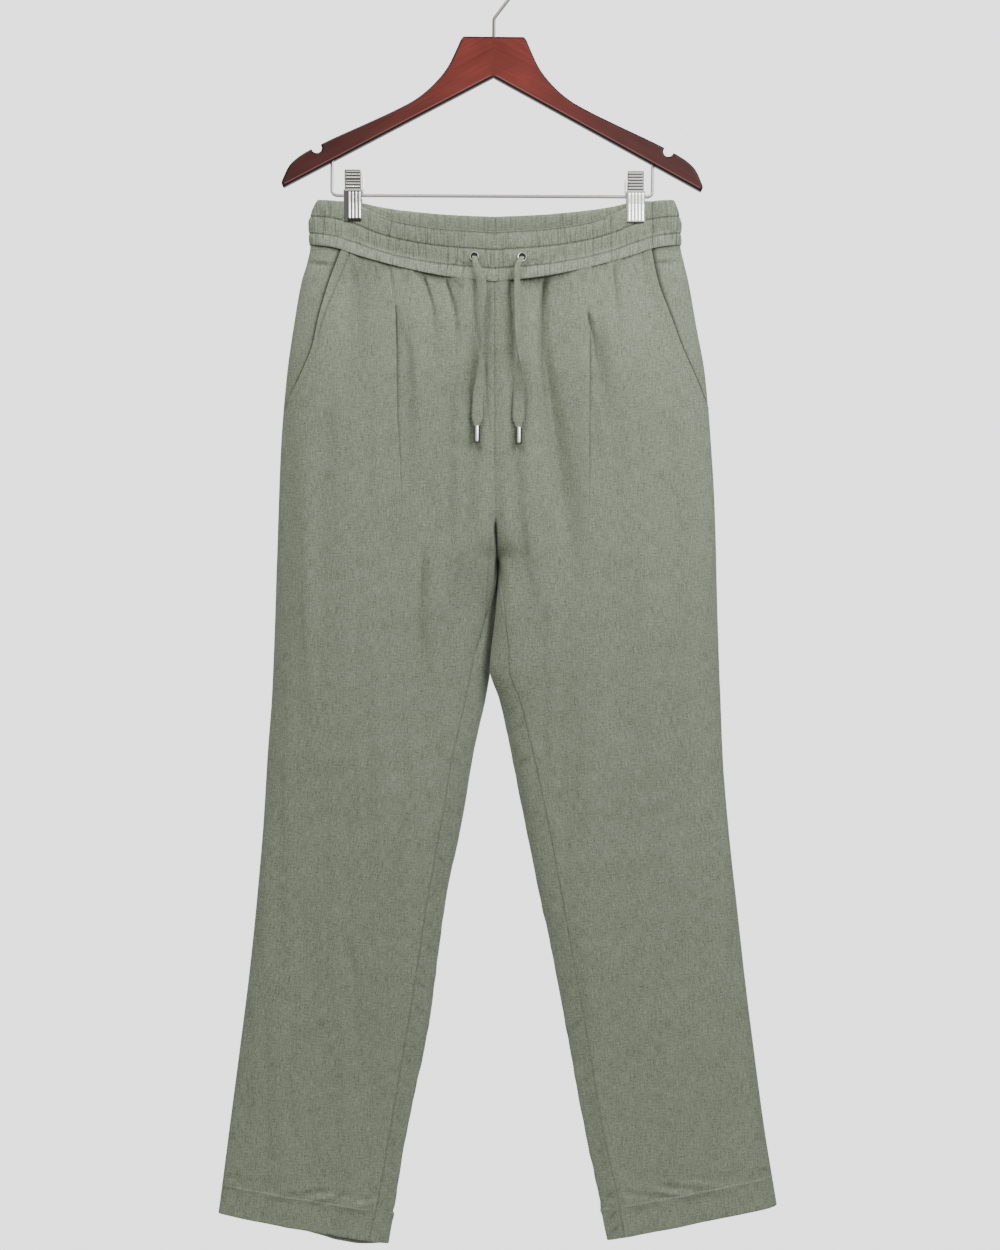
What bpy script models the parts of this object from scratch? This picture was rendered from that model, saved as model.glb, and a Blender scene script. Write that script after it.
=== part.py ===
"""Drawstring trousers held by two metal clips on a wooden trouser hanger.

Frame: +Z up, X to the right as seen from the front, the front of the garment towards -Y.
The origin is the inside top of the hook, where the rail carries the hanger.
Sizes are in millimetres and become metres in the meshes.
"""

import math

import bmesh
import bpy
import numpy as np
from mathutils import Matrix

MM = 0.001

# ---------------------------------------------------------------- driving sizes
SEAM_GAP = 0.3
CLOTH_WALL = 1.2
HEM_WALL = 2.4
HEM_DEPTH = 30.0
BAND_WALL = 2.6
BAND_PROUD = 0.7

WAIST_TOP = -246.4
WAIST_SEAM = -293.7
SAG_END = -520.0
CROTCH_FRONT = -562.0
CROTCH_BACK = -545.0
FORK = -621.0
CREST_TOP = -500.0
CREST_RUN = 260.0
ROUNDNESS = 2.5

GATHERS_FRONT = 60
GATHERS_BACK = 56
GATHER_RISE = 0.8
GATHER_DIP = 0.6
GATHER_UNEVEN = 0.25
GATHER_FADE = 7.0

HANGER_TILT = math.radians(0.6)
WOOD_TOP = -74.0
WOOD_THICK = 14.0
WOOD_EDGE = 2.0
HOOK_WIRE = 3.6
HOOK_RADIUS = 21.0
HOOK_STEM = 21.0
HOOK_ARC = (-38.4, 195.0)
BAR_WIRE = 3.5
BAR_HALF = 169.0
BAR_CORNER = 6.0
CLIP_GRIP = 3.3

# Outline and depth of the trousers, a row for each level down the side seam.
# level, left_outer, left_inner, right_inner, right_outer, front_depth, back_depth
SECTIONS = np.array([
    (-246.4, -186.6, -0.15, 0.15, 188.9, 29.0, 14.0),
    (-257.0, -191.5, -0.15, 0.15, 192.6, 29.0, 14.0),
    (-270.0, -195.0, -0.15, 0.15, 195.4, 29.0, 14.0),
    (-294.0, -194.3, -0.15, 0.15, 196.1, 29.0, 14.0),
    (-312.0, -197.6, -0.15, 0.15, 199.8, 30.5, 17.0),
    (-330.0, -203.0, -0.15, 0.15, 204.2, 33.0, 21.0),
    (-377.0, -211.4, -0.15, 0.15, 212.5, 37.0, 27.0),
    (-430.0, -218.9, -0.1, 0.2, 222.0, 39.0, 30.0),
    (-509.0, -225.3, 0.05, 0.35, 228.3, 38.5, 32.0),
    (-562.0, -227.4, 0.35, 0.65, 231.5, 38.0, 33.0),
    (-621.0, -229.3, 3.05, 3.4, 233.2, 37.0, 33.5),
    (-640.0, -230.0, 3.6, 3.3, 233.6, 36.5, 33.5),
    (-674.0, -231.0, 2.2, 1.8, 234.4, 36.0, 33.0),
    (-740.0, -233.4, -5.2, -3.0, 236.6, 33.5, 31.0),
    (-773.0, -235.0, -10.0, 5.8, 238.0, 32.0, 30.0),
    (-826.0, -239.0, -21.6, 18.5, 240.0, 30.0, 28.5),
    (-905.0, -243.8, -34.8, 35.3, 246.0, 26.5, 26.0),
    (-984.0, -250.6, -49.0, 50.2, 254.8, 23.5, 24.0),
    (-1063.0, -258.9, -61.2, 64.3, 263.6, 20.5, 21.0),
    (-1142.0, -268.9, -74.3, 78.6, 273.6, 17.5, 18.0),
    (-1221.0, -279.2, -88.0, 91.7, 284.2, 15.0, 15.5),
    (-1300.0, -289.4, -101.8, 109.0, 297.0, 14.0, 14.5),
    (-1345.0, -295.5, -111.7, 116.8, 304.5, 13.5, 14.0),
])
LEVEL, LEFT_OUTER, LEFT_INNER, RIGHT_INNER, RIGHT_OUTER, FRONT_DEPTH, BACK_DEPTH = SECTIONS[::-1].T

# How far the waist hangs below its ends, across from the centre (0) to the side (1).
# across, top_edge, seam
SAG = np.array([
    (0.0, 1.0, 1.0),
    (0.25, 0.90, 0.87),
    (0.50, 0.68, 0.63),
    (0.65, 0.44, 0.43),
    (0.75, 0.19, 0.275),
    (0.86, 0.05, 0.10),
    (1.0, 0.0, 0.0),
])
SAG_FRONT = {"top_edge": 36.9, "seam": 41.4}
SAG_BACK = {"top_edge": 15.7, "seam": 18.0}

# The waistband's rows, down from its top edge (0) to the waist seam (1).
# down, gather
BAND_ROWS = np.array([
    (0.0, 0.7),
    (0.18, 1.0),
    (0.353, 0.35),
    (0.54, 1.0),
    (0.725, 0.35),
    (0.87, 0.8),
    (1.0, 0.3),
])
BAND_INNER_ROWS = (0.0, 0.54, 0.725, 0.87, 1.0)
BAND_BULGE_FRONT = 23.7
BAND_BULGE_BACK = 10.7
BAND_PINCH = 2.3
PINCH_INNER = 139.0
PINCH_OUTER = 159.0
BAND_END_LOOP = 3.7
SPREAD_FROM = 0.62
CLIP_X = {"left": -149.2, "right": 148.6}
CLIP_Z = {"left": -240.6, "right": -242.3}
CLIP_REACH = 149.0
CLIP_SPREAD = 28.0
CLIP_FLATTEN = 0.35
CLIP_FADE = 110.0
CLIP_CLEAR = 13.0

# The slanted pocket mouths, from the waist seam to the side seam.
# z, left_x, right_x
POCKET_MOUTH = np.array([
    (-290.0, -157.0, 162.5),
    (-334.5, -173.2, 171.3),
    (-373.7, -184.4, 185.6),
    (-400.0, -190.0, 195.3),
    (-435.3, -204.9, 211.5),
    (-466.0, -222.0, 225.2),
    (-480.0, -232.0, 235.0),
])
POCKET_END = -466.0
POCKET_CLOSE = -460.0
FACING_STEPS = 3
FACING_TUCK = 0.7

# Each leg's hem: its level at the side seam and how far it falls to the inner edge.
HEM_SIDE = {"left": -1313.4, "right": -1304.9}
HEM_FALL = {"left": 31.8, "right": 37.1}
HEM_BACK_DIP = 5.0
# The centre back seam hangs a little beside the centre front one.
BACK_SEAM_X = 1.5
# Below the fork the left leg's inner edge lies behind the right one's.
EDGE_LEAN = {"left": 13.0, "right": -13.0}
LEAN_TOP = 60.0
LEAN_POWER = 9
LEAN_END = -800.0
LEAN_FADE = 80.0
# How far the leg seam lies in from the inner edge, on the front.
# z, in_from_edge
LEG_SEAM = np.array([
    (-1400.0, 20.0),
    (-900.0, 21.0),
    (-735.0, 19.5),
    (-686.0, 11.0),
    (-621.0, 0.0),
])

# Pleats: the crease, the depth of the step beside it and how wide it recovers.
# side, crease_x, top_z, open_z, end_z, depth, recover
PLEATS = {
    "left": (-105.0, -318.0, -368.0, -590.0, 3.2, 34.0),
    "right": (97.8, -318.0, -368.0, -600.0, 3.2, 36.0),
}

# The largest folds, as troughs along a path of three points.
# top_x, top_z, mid_x, mid_z, low_x, low_z, depth, half_width
FOLDS = np.array([
    (54.5, -341.0, 58.0, -440.0, 88.5, -665.0, 6.0, 15.0),
    (-146.5, -325.0, -142.5, -400.0, -150.0, -480.0, 4.0, 17.0),
    (-46.0, -335.0, -37.0, -372.0, -31.0, -430.0, 3.0, 10.0),
    (-72.0, -700.0, -74.0, -790.0, -76.0, -900.0, 2.5, 18.0),
    (120.0, -640.0, 128.0, -760.0, 132.0, -900.0, 2.5, 20.0),
])

EYELETS = {"left": (-21.1, -307.9), "right": (28.9, -308.5)}
EYELET_INNER = 3.4
EYELET_OUTER = 5.25
EYELET_THICK = 1.4
EYELET_LIFT = 0.7
EYELET_CLEAR = 7.0
EYELET_DOWN = 0.48

TAPE_WIDTH = 12.6
TAPE_THICK = 2.4
# The drawcords' routes: x, y, z, the tape's scale and its twist in degrees.
CORD_ROUTES = {
    "left": (
        (-21.1, -26.6, -307.9, 0.40, 0.0),
        (-20.8, -30.6, -310.0, 0.42, 5.0),
        (-19.0, -33.0, -318.0, 0.60, 12.0),
        (-15.4, -34.8, -328.0, 0.85, 20.0),
        (-13.3, -36.5, -342.0, 0.95, 30.0),
        (-14.8, -42.0, -375.7, 0.98, 48.0),
        (-14.2, -46.6, -409.5, 1.00, 85.0),
        (-14.6, -47.2, -428.0, 1.00, 122.0),
        (-16.6, -45.2, -453.2, 1.00, 165.0),
        (-17.8, -43.8, -477.0, 0.98, 178.0),
        (-18.4, -43.6, -486.6, 0.46, 180.0),
    ),
    "right": (
        (28.9, -26.4, -308.5, 0.40, 0.0),
        (28.0, -30.4, -310.8, 0.42, -8.0),
        (24.4, -33.0, -318.0, 0.55, -30.0),
        (23.4, -35.4, -328.0, 0.75, -52.0),
        (24.0, -37.5, -342.0, 0.85, -48.0),
        (24.4, -42.4, -375.7, 0.95, -52.0),
        (24.9, -46.8, -403.3, 1.00, -78.0),
        (25.3, -46.6, -431.0, 1.00, -130.0),
        (25.5, -45.0, -453.2, 1.00, -158.0),
        (24.8, -43.8, -477.0, 0.98, -175.0),
        (25.2, -43.6, -488.0, 0.46, -180.0),
    ),
}
TIP_LENGTH = 17.0
TIP_RADIUS = 3.25


# ---------------------------------------------------------------- shared helpers
def curve_through(at, xs, ys):
    """A monotone cubic through the rows of a table whose xs rise."""
    xs, ys = np.asarray(xs, float), np.asarray(ys, float)
    at = np.clip(np.asarray(at, float), xs[0], xs[-1])
    step = np.diff(xs)
    slope = np.diff(ys) / step
    tangent = np.zeros(len(xs))
    tangent[0], tangent[-1] = slope[0], slope[-1]
    for i in range(1, len(xs) - 1):
        if slope[i - 1] * slope[i] > 0:
            low, high = 2 * step[i] + step[i - 1], step[i] + 2 * step[i - 1]
            tangent[i] = (low + high) / (low / slope[i - 1] + high / slope[i])
    k = np.clip(np.searchsorted(xs, at) - 1, 0, len(step) - 1)
    t = (at - xs[k]) / step[k]
    return (
        ys[k] * (1 + 2 * t) * (1 - t) ** 2
        + ys[k + 1] * t * t * (3 - 2 * t)
        + step[k] * t * (1 - t) * (tangent[k] * (1 - t) - tangent[k + 1] * t)
    )


def ease(t):
    """0 to 1 with level ends."""
    t = np.clip(t, 0.0, 1.0)
    return t * t * (3 - 2 * t)


def material(name, colour, roughness, metallic):
    made = bpy.data.materials.get(name) or bpy.data.materials.new(name)
    made.use_nodes = True
    shader = made.node_tree.nodes["Principled BSDF"]
    shader.inputs["Base Color"].default_value = (*colour, 1)
    shader.inputs["Roughness"].default_value = roughness
    shader.inputs["Metallic"].default_value = metallic
    return made


def add_object(name, mesh, finish, smooth_angle=None):
    mesh.name = name
    mesh.materials.clear()
    mesh.materials.append(finish)
    if smooth_angle:
        mesh.shade_smooth()
        mesh.set_sharp_from_angle(angle=math.radians(smooth_angle))
    made = bpy.data.objects.new(name, mesh)
    PARTS.objects.link(made)
    return made


def mesh_of(points, faces):
    """A closed mesh from points in millimetres, its faces turned outwards."""
    mesh = bpy.data.meshes.new("mesh")
    mesh.from_pydata([tuple(p) for p in np.asarray(points) * MM], [], faces)
    work = bmesh.new()
    work.from_mesh(mesh)
    bmesh.ops.recalc_face_normals(work, faces=work.faces)
    work.to_mesh(mesh)
    work.free()
    return mesh


def add_wall(name, outer, inner, finish, ring=False, smooth_angle=50):
    """A wall between two skins of points, rows by columns; a ring closes on its first column."""
    rows, columns = outer.shape[:2]
    inner_rows = inner.shape[0]
    base = rows * columns
    last = columns if ring else columns - 1
    faces = []
    for start, count in ((0, rows), (base, inner_rows)):
        for r in range(count - 1):
            for c in range(last):
                a, b = start + r * columns + c, start + r * columns + (c + 1) % columns
                faces += [(a, a + columns, b + columns), (a, b + columns, b)]
    for out_row, in_row in ((0, 0), (rows - 1, inner_rows - 1)):
        for c in range(last):
            a, b = out_row * columns + c, out_row * columns + (c + 1) % columns
            p, q = base + in_row * columns + c, base + in_row * columns + (c + 1) % columns
            faces += [(a, b, q), (a, q, p)]
    if not ring:
        for c in (0, columns - 1):
            for r in range(rows - 1):
                a, b = r * columns + c, (r + 1) * columns + c
                faces += [(a, b, base + b), (a, base + b, base + a)]
    points = np.concatenate([outer.reshape(-1, 3), inner.reshape(-1, 3)])
    return add_object(name, mesh_of(points, faces), finish, smooth_angle)


def mesh_from_curve(curve_object):
    """The curve as a mesh with its caps welded; the curve goes away."""
    bpy.context.view_layer.update()
    graph = bpy.context.evaluated_depsgraph_get()
    mesh = bpy.data.meshes.new_from_object(curve_object.evaluated_get(graph))
    mesh.transform(curve_object.matrix_world)
    work = bmesh.new()
    work.from_mesh(mesh)
    bmesh.ops.remove_doubles(work, verts=work.verts, dist=0.00001)
    bmesh.ops.recalc_face_normals(work, faces=work.faces)
    work.to_mesh(mesh)
    work.free()
    data = curve_object.data
    bpy.data.objects.remove(curve_object)
    bpy.data.curves.remove(data)
    return mesh


def wire_mesh(points, radius, sides=2):
    """A round wire along points in millimetres."""
    data = bpy.data.curves.new("wire", "CURVE")
    data.dimensions = "3D"
    data.bevel_depth = radius * MM
    data.bevel_resolution = sides
    data.use_fill_caps = True
    spline = data.splines.new("POLY")
    spline.points.add(len(points) - 1)
    for point, place in zip(spline.points, points):
        point.co = (*(np.asarray(place) * MM), 1)
    made = bpy.data.objects.new("wire", data)
    PARTS.objects.link(made)
    return mesh_from_curve(made)


def cylinder(name, radius, length, place, axis, segments=24):
    """A cutter or a blank: a cylinder centred at place along X, Y or Z."""
    work = bmesh.new()
    bmesh.ops.create_cone(work, cap_ends=True, segments=segments, radius1=radius * MM,
                          radius2=radius * MM, depth=length * MM)
    turn = {"X": Matrix.Rotation(math.pi / 2, 4, "Y"), "Y": Matrix.Rotation(math.pi / 2, 4, "X"),
            "Z": Matrix.Identity(4)}[axis]
    bmesh.ops.transform(work, matrix=turn, verts=work.verts)
    mesh = bpy.data.meshes.new(name)
    work.to_mesh(mesh)
    work.free()
    made = bpy.data.objects.new(name, mesh)
    made.location = np.asarray(place) * MM
    return made


def boolean(target, other, operation):
    """Cuts or joins with another solid, which stays in the cutters' collection."""
    CUTTERS.objects.link(other)
    other.hide_render = True
    other.display_type = "WIRE"
    step = target.modifiers.new(other.name, "BOOLEAN")
    step.operation = operation
    step.solver = "EXACT"
    step.object = other


# ---------------------------------------------------------------- form of the cloth
def across_sag(level_name, across):
    column = 1 if level_name == "top_edge" else 2
    return curve_through(across, SAG[:, 0], SAG[:, column])


def outer_x(side, z):
    return curve_through(z, LEVEL, LEFT_OUTER if side == "left" else RIGHT_OUTER)


def inner_x(side, z):
    return curve_through(z, LEVEL, LEFT_INNER if side == "left" else RIGHT_INNER)


def closed_share(face, level):
    """0 where the body is one tube, 1 where each leg is a tube of its own."""
    top = CROTCH_FRONT if face == "front" else CROTCH_BACK
    t = np.clip((top - level) / (top - FORK), 0.0, 1.0)
    return 1 - np.sqrt(1 - t * t)


def crest_at(level):
    """Where across a half section is deepest: at the middle of the body, then of each leg."""
    return float(1 - 0.5 * ease((CREST_TOP - level) / CREST_RUN))


def section(closed, crest, w):
    """Across (0 at the side, 1 at the inner edge) and depth share at w along half a section."""
    rising = w <= crest
    turn = np.where(rising, w / crest, (w - crest) / max(1 - crest, 1e-9))
    across = np.where(rising, crest * (1 - np.cos(turn * math.pi / 2)),
                      crest + (1 - crest) * np.sin(turn * math.pi / 2))
    out = np.where(rising, 1 - across / crest, (across - crest) / max(1 - crest, 1e-9))
    curve = (1 - np.clip(out, 0, 1) ** ROUNDNESS) ** (1 / ROUNDNESS)
    return across, np.where(rising, curve, (1 - closed) + closed * curve)


def along_section(crest, across):
    """The w whose across is given, the inverse of section."""
    across = min(max(across, 0.0), 1.0)
    if across <= crest:
        return crest * math.acos(1 - across / crest) * 2 / math.pi
    return crest + (1 - crest) * math.asin((across - crest) / (1 - crest)) * 2 / math.pi


def fall(side, face, level, across):
    """How far below its level at the side a row hangs, across to the inner edge."""
    sag = (SAG_FRONT if face == "front" else SAG_BACK)["seam"]
    waist = sag * across_sag("seam", 1 - across) * (1 - ease((WAIST_SEAM - level) / (WAIST_SEAM - SAG_END)))
    leg = np.clip((FORK - level) / (FORK - HEM_SIDE[side]), 0.0, 1.0)
    dip = HEM_BACK_DIP * np.sin(math.pi * across**2.5) * ease(leg) if face == "back" else 0.0
    return waist + HEM_FALL[side] * leg * across + dip


def fold_push(x, z):
    """How far the largest folds and the pleats press the front inwards."""
    push = np.zeros(np.shape(x))
    for top_x, top_z, mid_x, mid_z, low_x, low_z, depth, half in FOLDS:
        path = curve_through(z, (low_z, mid_z, top_z), (low_x, mid_x, top_x))
        length = top_z - low_z
        fade = ease((top_z + 25 - z) / 40) * ease((z - low_z) / (0.45 * length))
        push = push + depth * fade * np.exp(-(((x - path) / half) ** 2))
    for crease, top_z, open_z, end_z, depth, recover in PLEATS.values():
        beside = (x - crease) / recover
        share = 0.35 * ease((top_z + 10 - z) / 20) + 0.65 * ease((open_z - z) / 60)
        share = share * ease((z - end_z) / 160)
        push = push + np.where(beside > 0.02, depth * share * ease(1 - beside), 0.0)
    return push


def near_clip(x):
    """How much of its depth the cloth loses below the clips."""
    return CLIP_FLATTEN * np.exp(-(((np.abs(x) - CLIP_REACH) / CLIP_SPREAD) ** 2))


def cloth_point(side, face, w, level, inset=0.0):
    """A point of the trousers' outer form, or of the nested form that lies inset within it."""
    sign = -1 if side == "left" else 1
    closed = float(closed_share(face, level))
    across, share = section(closed, crest_at(level), w)
    z = level - fall(side, face, level, across)
    edge = level - float(fall(side, face, level, 1.0))
    start = float(outer_x(side, level)) - sign * inset
    end = float(inner_x(side, edge)) + sign * inset * closed
    if face == "back":
        end += BACK_SEAM_X * (1 - closed)
    x = start + (end - start) * across
    depth_table = FRONT_DEPTH if face == "front" else BACK_DEPTH
    depth = float(curve_through(level, LEVEL, depth_table)) - inset
    flattened = near_clip(x) * (1 - ease((WAIST_SEAM - level) / CLIP_FADE))
    y = depth * share * (1 - flattened)
    if face == "front":
        y = -y + fold_push(x, z) * ease(share * 1.6)
    lean = EDGE_LEAN[side] * ease((FORK - level) / LEAN_TOP) * ease((level - LEAN_END) / LEAN_FADE)
    y = y + lean * across**LEAN_POWER
    return np.stack([x, y, z], axis=-1)


# ---------------------------------------------------------------- panels
BODY_LEVELS = (-308.0, -334.0, -374.0, -402.0, -430.0, POCKET_CLOSE, POCKET_END, -500.0,
               -535.0, -562.0, -591.0, -609.0, -618.0, -621.0)
LEG_SHARES = (0.045, 0.11, 0.19, 0.31, 0.43, 0.55, 0.67, 0.79, 0.90)


def panel_levels(side):
    """Row levels at the side seam, and the wall at each row."""
    hem = HEM_SIDE[side]
    legs = [FORK + share * (hem - FORK) for share in LEG_SHARES]
    plain = [WAIST_SEAM - SEAM_GAP, *BODY_LEVELS, *legs, hem + HEM_DEPTH]
    levels = [*plain, hem + HEM_DEPTH - 2.0, hem]
    walls = [CLOTH_WALL] * len(plain) + [HEM_WALL] * 2
    return levels, walls


def mouth_w(side, level):
    """Where the pocket mouth crosses a row of the front."""
    if level <= POCKET_END:
        return 0.0
    if level < POCKET_CLOSE:
        share = (level - POCKET_END) / (POCKET_CLOSE - POCKET_END)
        return share * mouth_w(side, POCKET_CLOSE)
    column = POCKET_MOUTH[:, 1 if side == "left" else 2]
    z = level
    for _ in range(4):
        x = float(curve_through(z, POCKET_MOUTH[::-1, 0], column[::-1]))
        start = float(outer_x(side, level))
        across = min(max((x - start) / (float(inner_x(side, level)) - start), 0.0), 1.0)
        z = level - float(fall(side, "front", level, across))
    return along_section(1.0, across)


def seam_w(side, level):
    """Where the leg seam crosses a row of the front."""
    if level >= FORK:
        return 1.0
    z = level - float(fall(side, "front", level, 1.0))
    width = abs(float(inner_x(side, z)) - float(outer_x(side, level)))
    inset = float(curve_through(z, LEG_SEAM[:, 0], LEG_SEAM[:, 1]))
    return along_section(crest_at(level), 1 - inset / width)


FRONT_COLUMNS = 18
PLEAT_COLUMN = 9
PLEAT_STEP = 1.6
PLEAT_COLUMNS_END = -580.0
PLEAT_COLUMNS_FADE = 80.0


def front_columns(side, level):
    """The w of each column: the first on the pocket mouth, two on the pleat, the last on a seam."""
    start, end = mouth_w(side, level), seam_w(side, level)
    even = np.linspace(start, end, FRONT_COLUMNS + 1)
    crest = crest_at(level)
    left, right = float(outer_x(side, level)), float(inner_x(side, level))
    crease = PLEATS[side][0]
    pull = 1 - ease((PLEAT_COLUMNS_END - level) / PLEAT_COLUMNS_FADE)
    sign = -1 if side == "left" else 1
    near, far = (0.0, PLEAT_STEP) if sign < 0 else (PLEAT_STEP, 0.0)
    pinned = {
        PLEAT_COLUMN: along_section(crest, (crease + near - left) / (right - left)),
        PLEAT_COLUMN + 1: along_section(crest, (crease + far - left) / (right - left)),
    }
    anchors = [0, 2, *pinned, FRONT_COLUMNS - 2, FRONT_COLUMNS]
    values = [pinned[k] * pull + even[k] * (1 - pull) if k in pinned else even[k] for k in anchors]
    return np.interp(np.arange(FRONT_COLUMNS + 1), anchors, values)


def shifted(row, step, which):
    """Moves an edge point of a row along the row, to leave half the seam gap."""
    row = row.copy()
    along = row[which + step] - row[which]
    row[which] += along / np.linalg.norm(along) * SEAM_GAP / 2
    return row


def front_grid(side, inset_by_row, levels):
    rows = []
    for level, inset in zip(levels, inset_by_row):
        row = cloth_point(side, "front", front_columns(side, level), level, inset)
        if mouth_w(side, level) == 0.0:
            row = shifted(row, 1, 0)
        if level <= FORK:
            row = shifted(row, -1, -1)
        rows.append(row)
    return np.array(rows)


BACK_COLUMNS = 15
BACK_WRAP = 3
BACK_TURN = 0.97


def back_grid(side, inset_by_row, levels):
    """The back runs from the side seam round the leg's inner edge to the leg seam."""
    rows = []
    for level, inset in zip(levels, inset_by_row):
        face, turn = ("back", BACK_TURN) if level >= FORK else ("front", 1.0)
        behind = np.linspace(0, turn, BACK_COLUMNS - BACK_WRAP + 1)
        wrapped = np.linspace(turn, seam_w(side, level), BACK_WRAP + 1)[1:]
        row = np.concatenate([
            cloth_point(side, "back", behind, level, inset),
            cloth_point(side, face, wrapped, level, inset),
        ])
        row = shifted(row, 1, 0)
        if level <= FORK:
            row = shifted(row, -1, -1)
        rows.append(row)
    return np.array(rows)


def build_panels(side, cloth):
    levels, walls = panel_levels(side)
    flush = [0.0] * len(levels)
    add_wall(f"front_{side}", front_grid(side, flush, levels), front_grid(side, walls, levels), cloth)
    add_wall(f"back_{side}", back_grid(side, flush, levels), back_grid(side, walls, levels), cloth)


def build_facing(side, cloth):
    """The pocket's side piece, from the side seam to just under the front's slanted edge.

    It is flush with the back at the side seam and a cloth's wall lower at the slanted edge.
    """
    levels = [*(level for level in panel_levels(side)[0] if level > POCKET_END), POCKET_END + 0.5]
    dip = np.append(ease(np.linspace(0, 1, FACING_STEPS + 1)), 1)
    skins = []
    for wall in (0.0, CLOTH_WALL):
        rows = []
        for level in levels:
            mouth = mouth_w(side, level)
            under = front_columns(side, level)[1]
            columns = np.append(np.linspace(0, mouth, FACING_STEPS + 1), under)
            lower = CLOTH_WALL + SEAM_GAP + (FACING_TUCK if level <= POCKET_CLOSE else 0.0)
            row = [cloth_point(side, "front", column, level, lower * share + wall)
                   for column, share in zip(columns, dip)]
            rows.append(shifted(np.array(row), 1, 0))
        skins.append(np.array(rows))
    add_wall(f"pocket_facing_{side}", skins[0], skins[1], cloth)


# ---------------------------------------------------------------- waistband
def band_half_depth(face, x, half):
    """The pinched plan of the top of the band: full in the middle, flat at the clips."""
    bulge = BAND_BULGE_FRONT if face == "front" else BAND_BULGE_BACK
    reach = np.clip(np.abs(x) / PINCH_INNER, 0, 1)
    end = np.clip((np.abs(x) - PINCH_OUTER) / (half - PINCH_OUTER), 0, 1)
    middle = BAND_PINCH + bulge * (1 + np.cos(math.pi * reach)) / 2
    loop = (BAND_PINCH + BAND_END_LOOP * ease(end / 0.6)) * np.sqrt(1 - end**6)
    return np.where(np.abs(x) < PINCH_OUTER, middle, loop)


def band_line(face, down, inset):
    """A fine line along one face of the band at a height, from the left end to the right."""
    w = np.linspace(0, 1, 260)
    level = WAIST_TOP + (WAIST_SEAM - WAIST_TOP) * down
    halves = []
    for side in ("left", "right"):
        sign = -1 if side == "left" else 1
        across, share = section(0.0, 1.0, w)
        start = float(outer_x(side, level)) - sign * inset
        x = start * (1 - across)
        sag = SAG_FRONT if face == "front" else SAG_BACK
        top = sag["top_edge"] * across_sag("top_edge", 1 - across)
        seam = sag["seam"] * across_sag("seam", 1 - across)
        z = level - (top * (1 - down) + seam * down)
        depth = curve_through(WAIST_SEAM, LEVEL, FRONT_DEPTH if face == "front" else BACK_DEPTH)
        low = (float(depth) - inset) * share * (1 - near_clip(x))
        half = abs(start)
        high = np.maximum(band_half_depth(face, x, half + 1e-6) - inset * np.clip(share * 3, 0, 1), 0)
        spread = ease((down - SPREAD_FROM) / (1 - SPREAD_FROM))
        y = high * (1 - spread) + low * spread
        halves.append(np.stack([x, -y if face == "front" else y, z], axis=-1))
    return np.concatenate([halves[0], halves[1][::-1][1:]])


def evenly(line, count):
    """count + 1 points at equal steps along a line."""
    run = np.concatenate([[0], np.cumsum(np.linalg.norm(np.diff(line[:, :2], axis=0), axis=1))])
    at = np.linspace(0, run[-1], count + 1)
    return np.stack([np.interp(at, run, line[:, k]) for k in range(3)], axis=-1)


def band_ring(down, inset):
    front = evenly(band_line("front", down, inset), GATHERS_FRONT * 2)
    back = evenly(band_line("back", down, inset), GATHERS_BACK * 2)[::-1]
    return np.concatenate([front[:-1], back[:-1]])


def gather_share(ring):
    """How much the gathers rise along the band: none under the clips and at the eyelets."""
    share = np.ones(len(ring))
    for x in CLIP_X.values():
        share *= ease((np.abs(ring[:, 0] - x) - CLIP_CLEAR) / GATHER_FADE)
    for x, _ in EYELETS.values():
        flat = ease((np.abs(ring[:, 0] - x) - EYELET_CLEAR) / GATHER_FADE)
        share *= np.where(ring[:, 1] < 0, flat, 1.0)
    return share


def build_waistband(cloth):
    """One elasticated ring: three gathered rows outside, plain inside."""
    outer = []
    for row, (down, rise) in enumerate(BAND_ROWS):
        ring = band_ring(down, -BAND_PROUD)
        along = np.roll(ring, -1, axis=0) - np.roll(ring, 1, axis=0)
        out = np.stack([along[:, 1], -along[:, 0], np.zeros(len(ring))], axis=-1)
        out /= np.linalg.norm(out, axis=1)[:, None]
        number = np.arange(len(ring))
        drift = np.sin(number * 1.7 + row * 0.9) * np.sin(number * 0.37 + row)
        wave = np.where(number % 2 == 0, 1.0, -GATHER_DIP) * (1 - GATHER_UNEVEN * (1 - drift))
        outer.append(ring + out * (GATHER_RISE * rise * wave * gather_share(ring))[:, None])
    inner = [band_ring(down, BAND_WALL - BAND_PROUD) for down in BAND_INNER_ROWS]
    add_wall("waistband", np.array(outer), np.array(inner), cloth, ring=True, smooth_angle=12)


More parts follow.
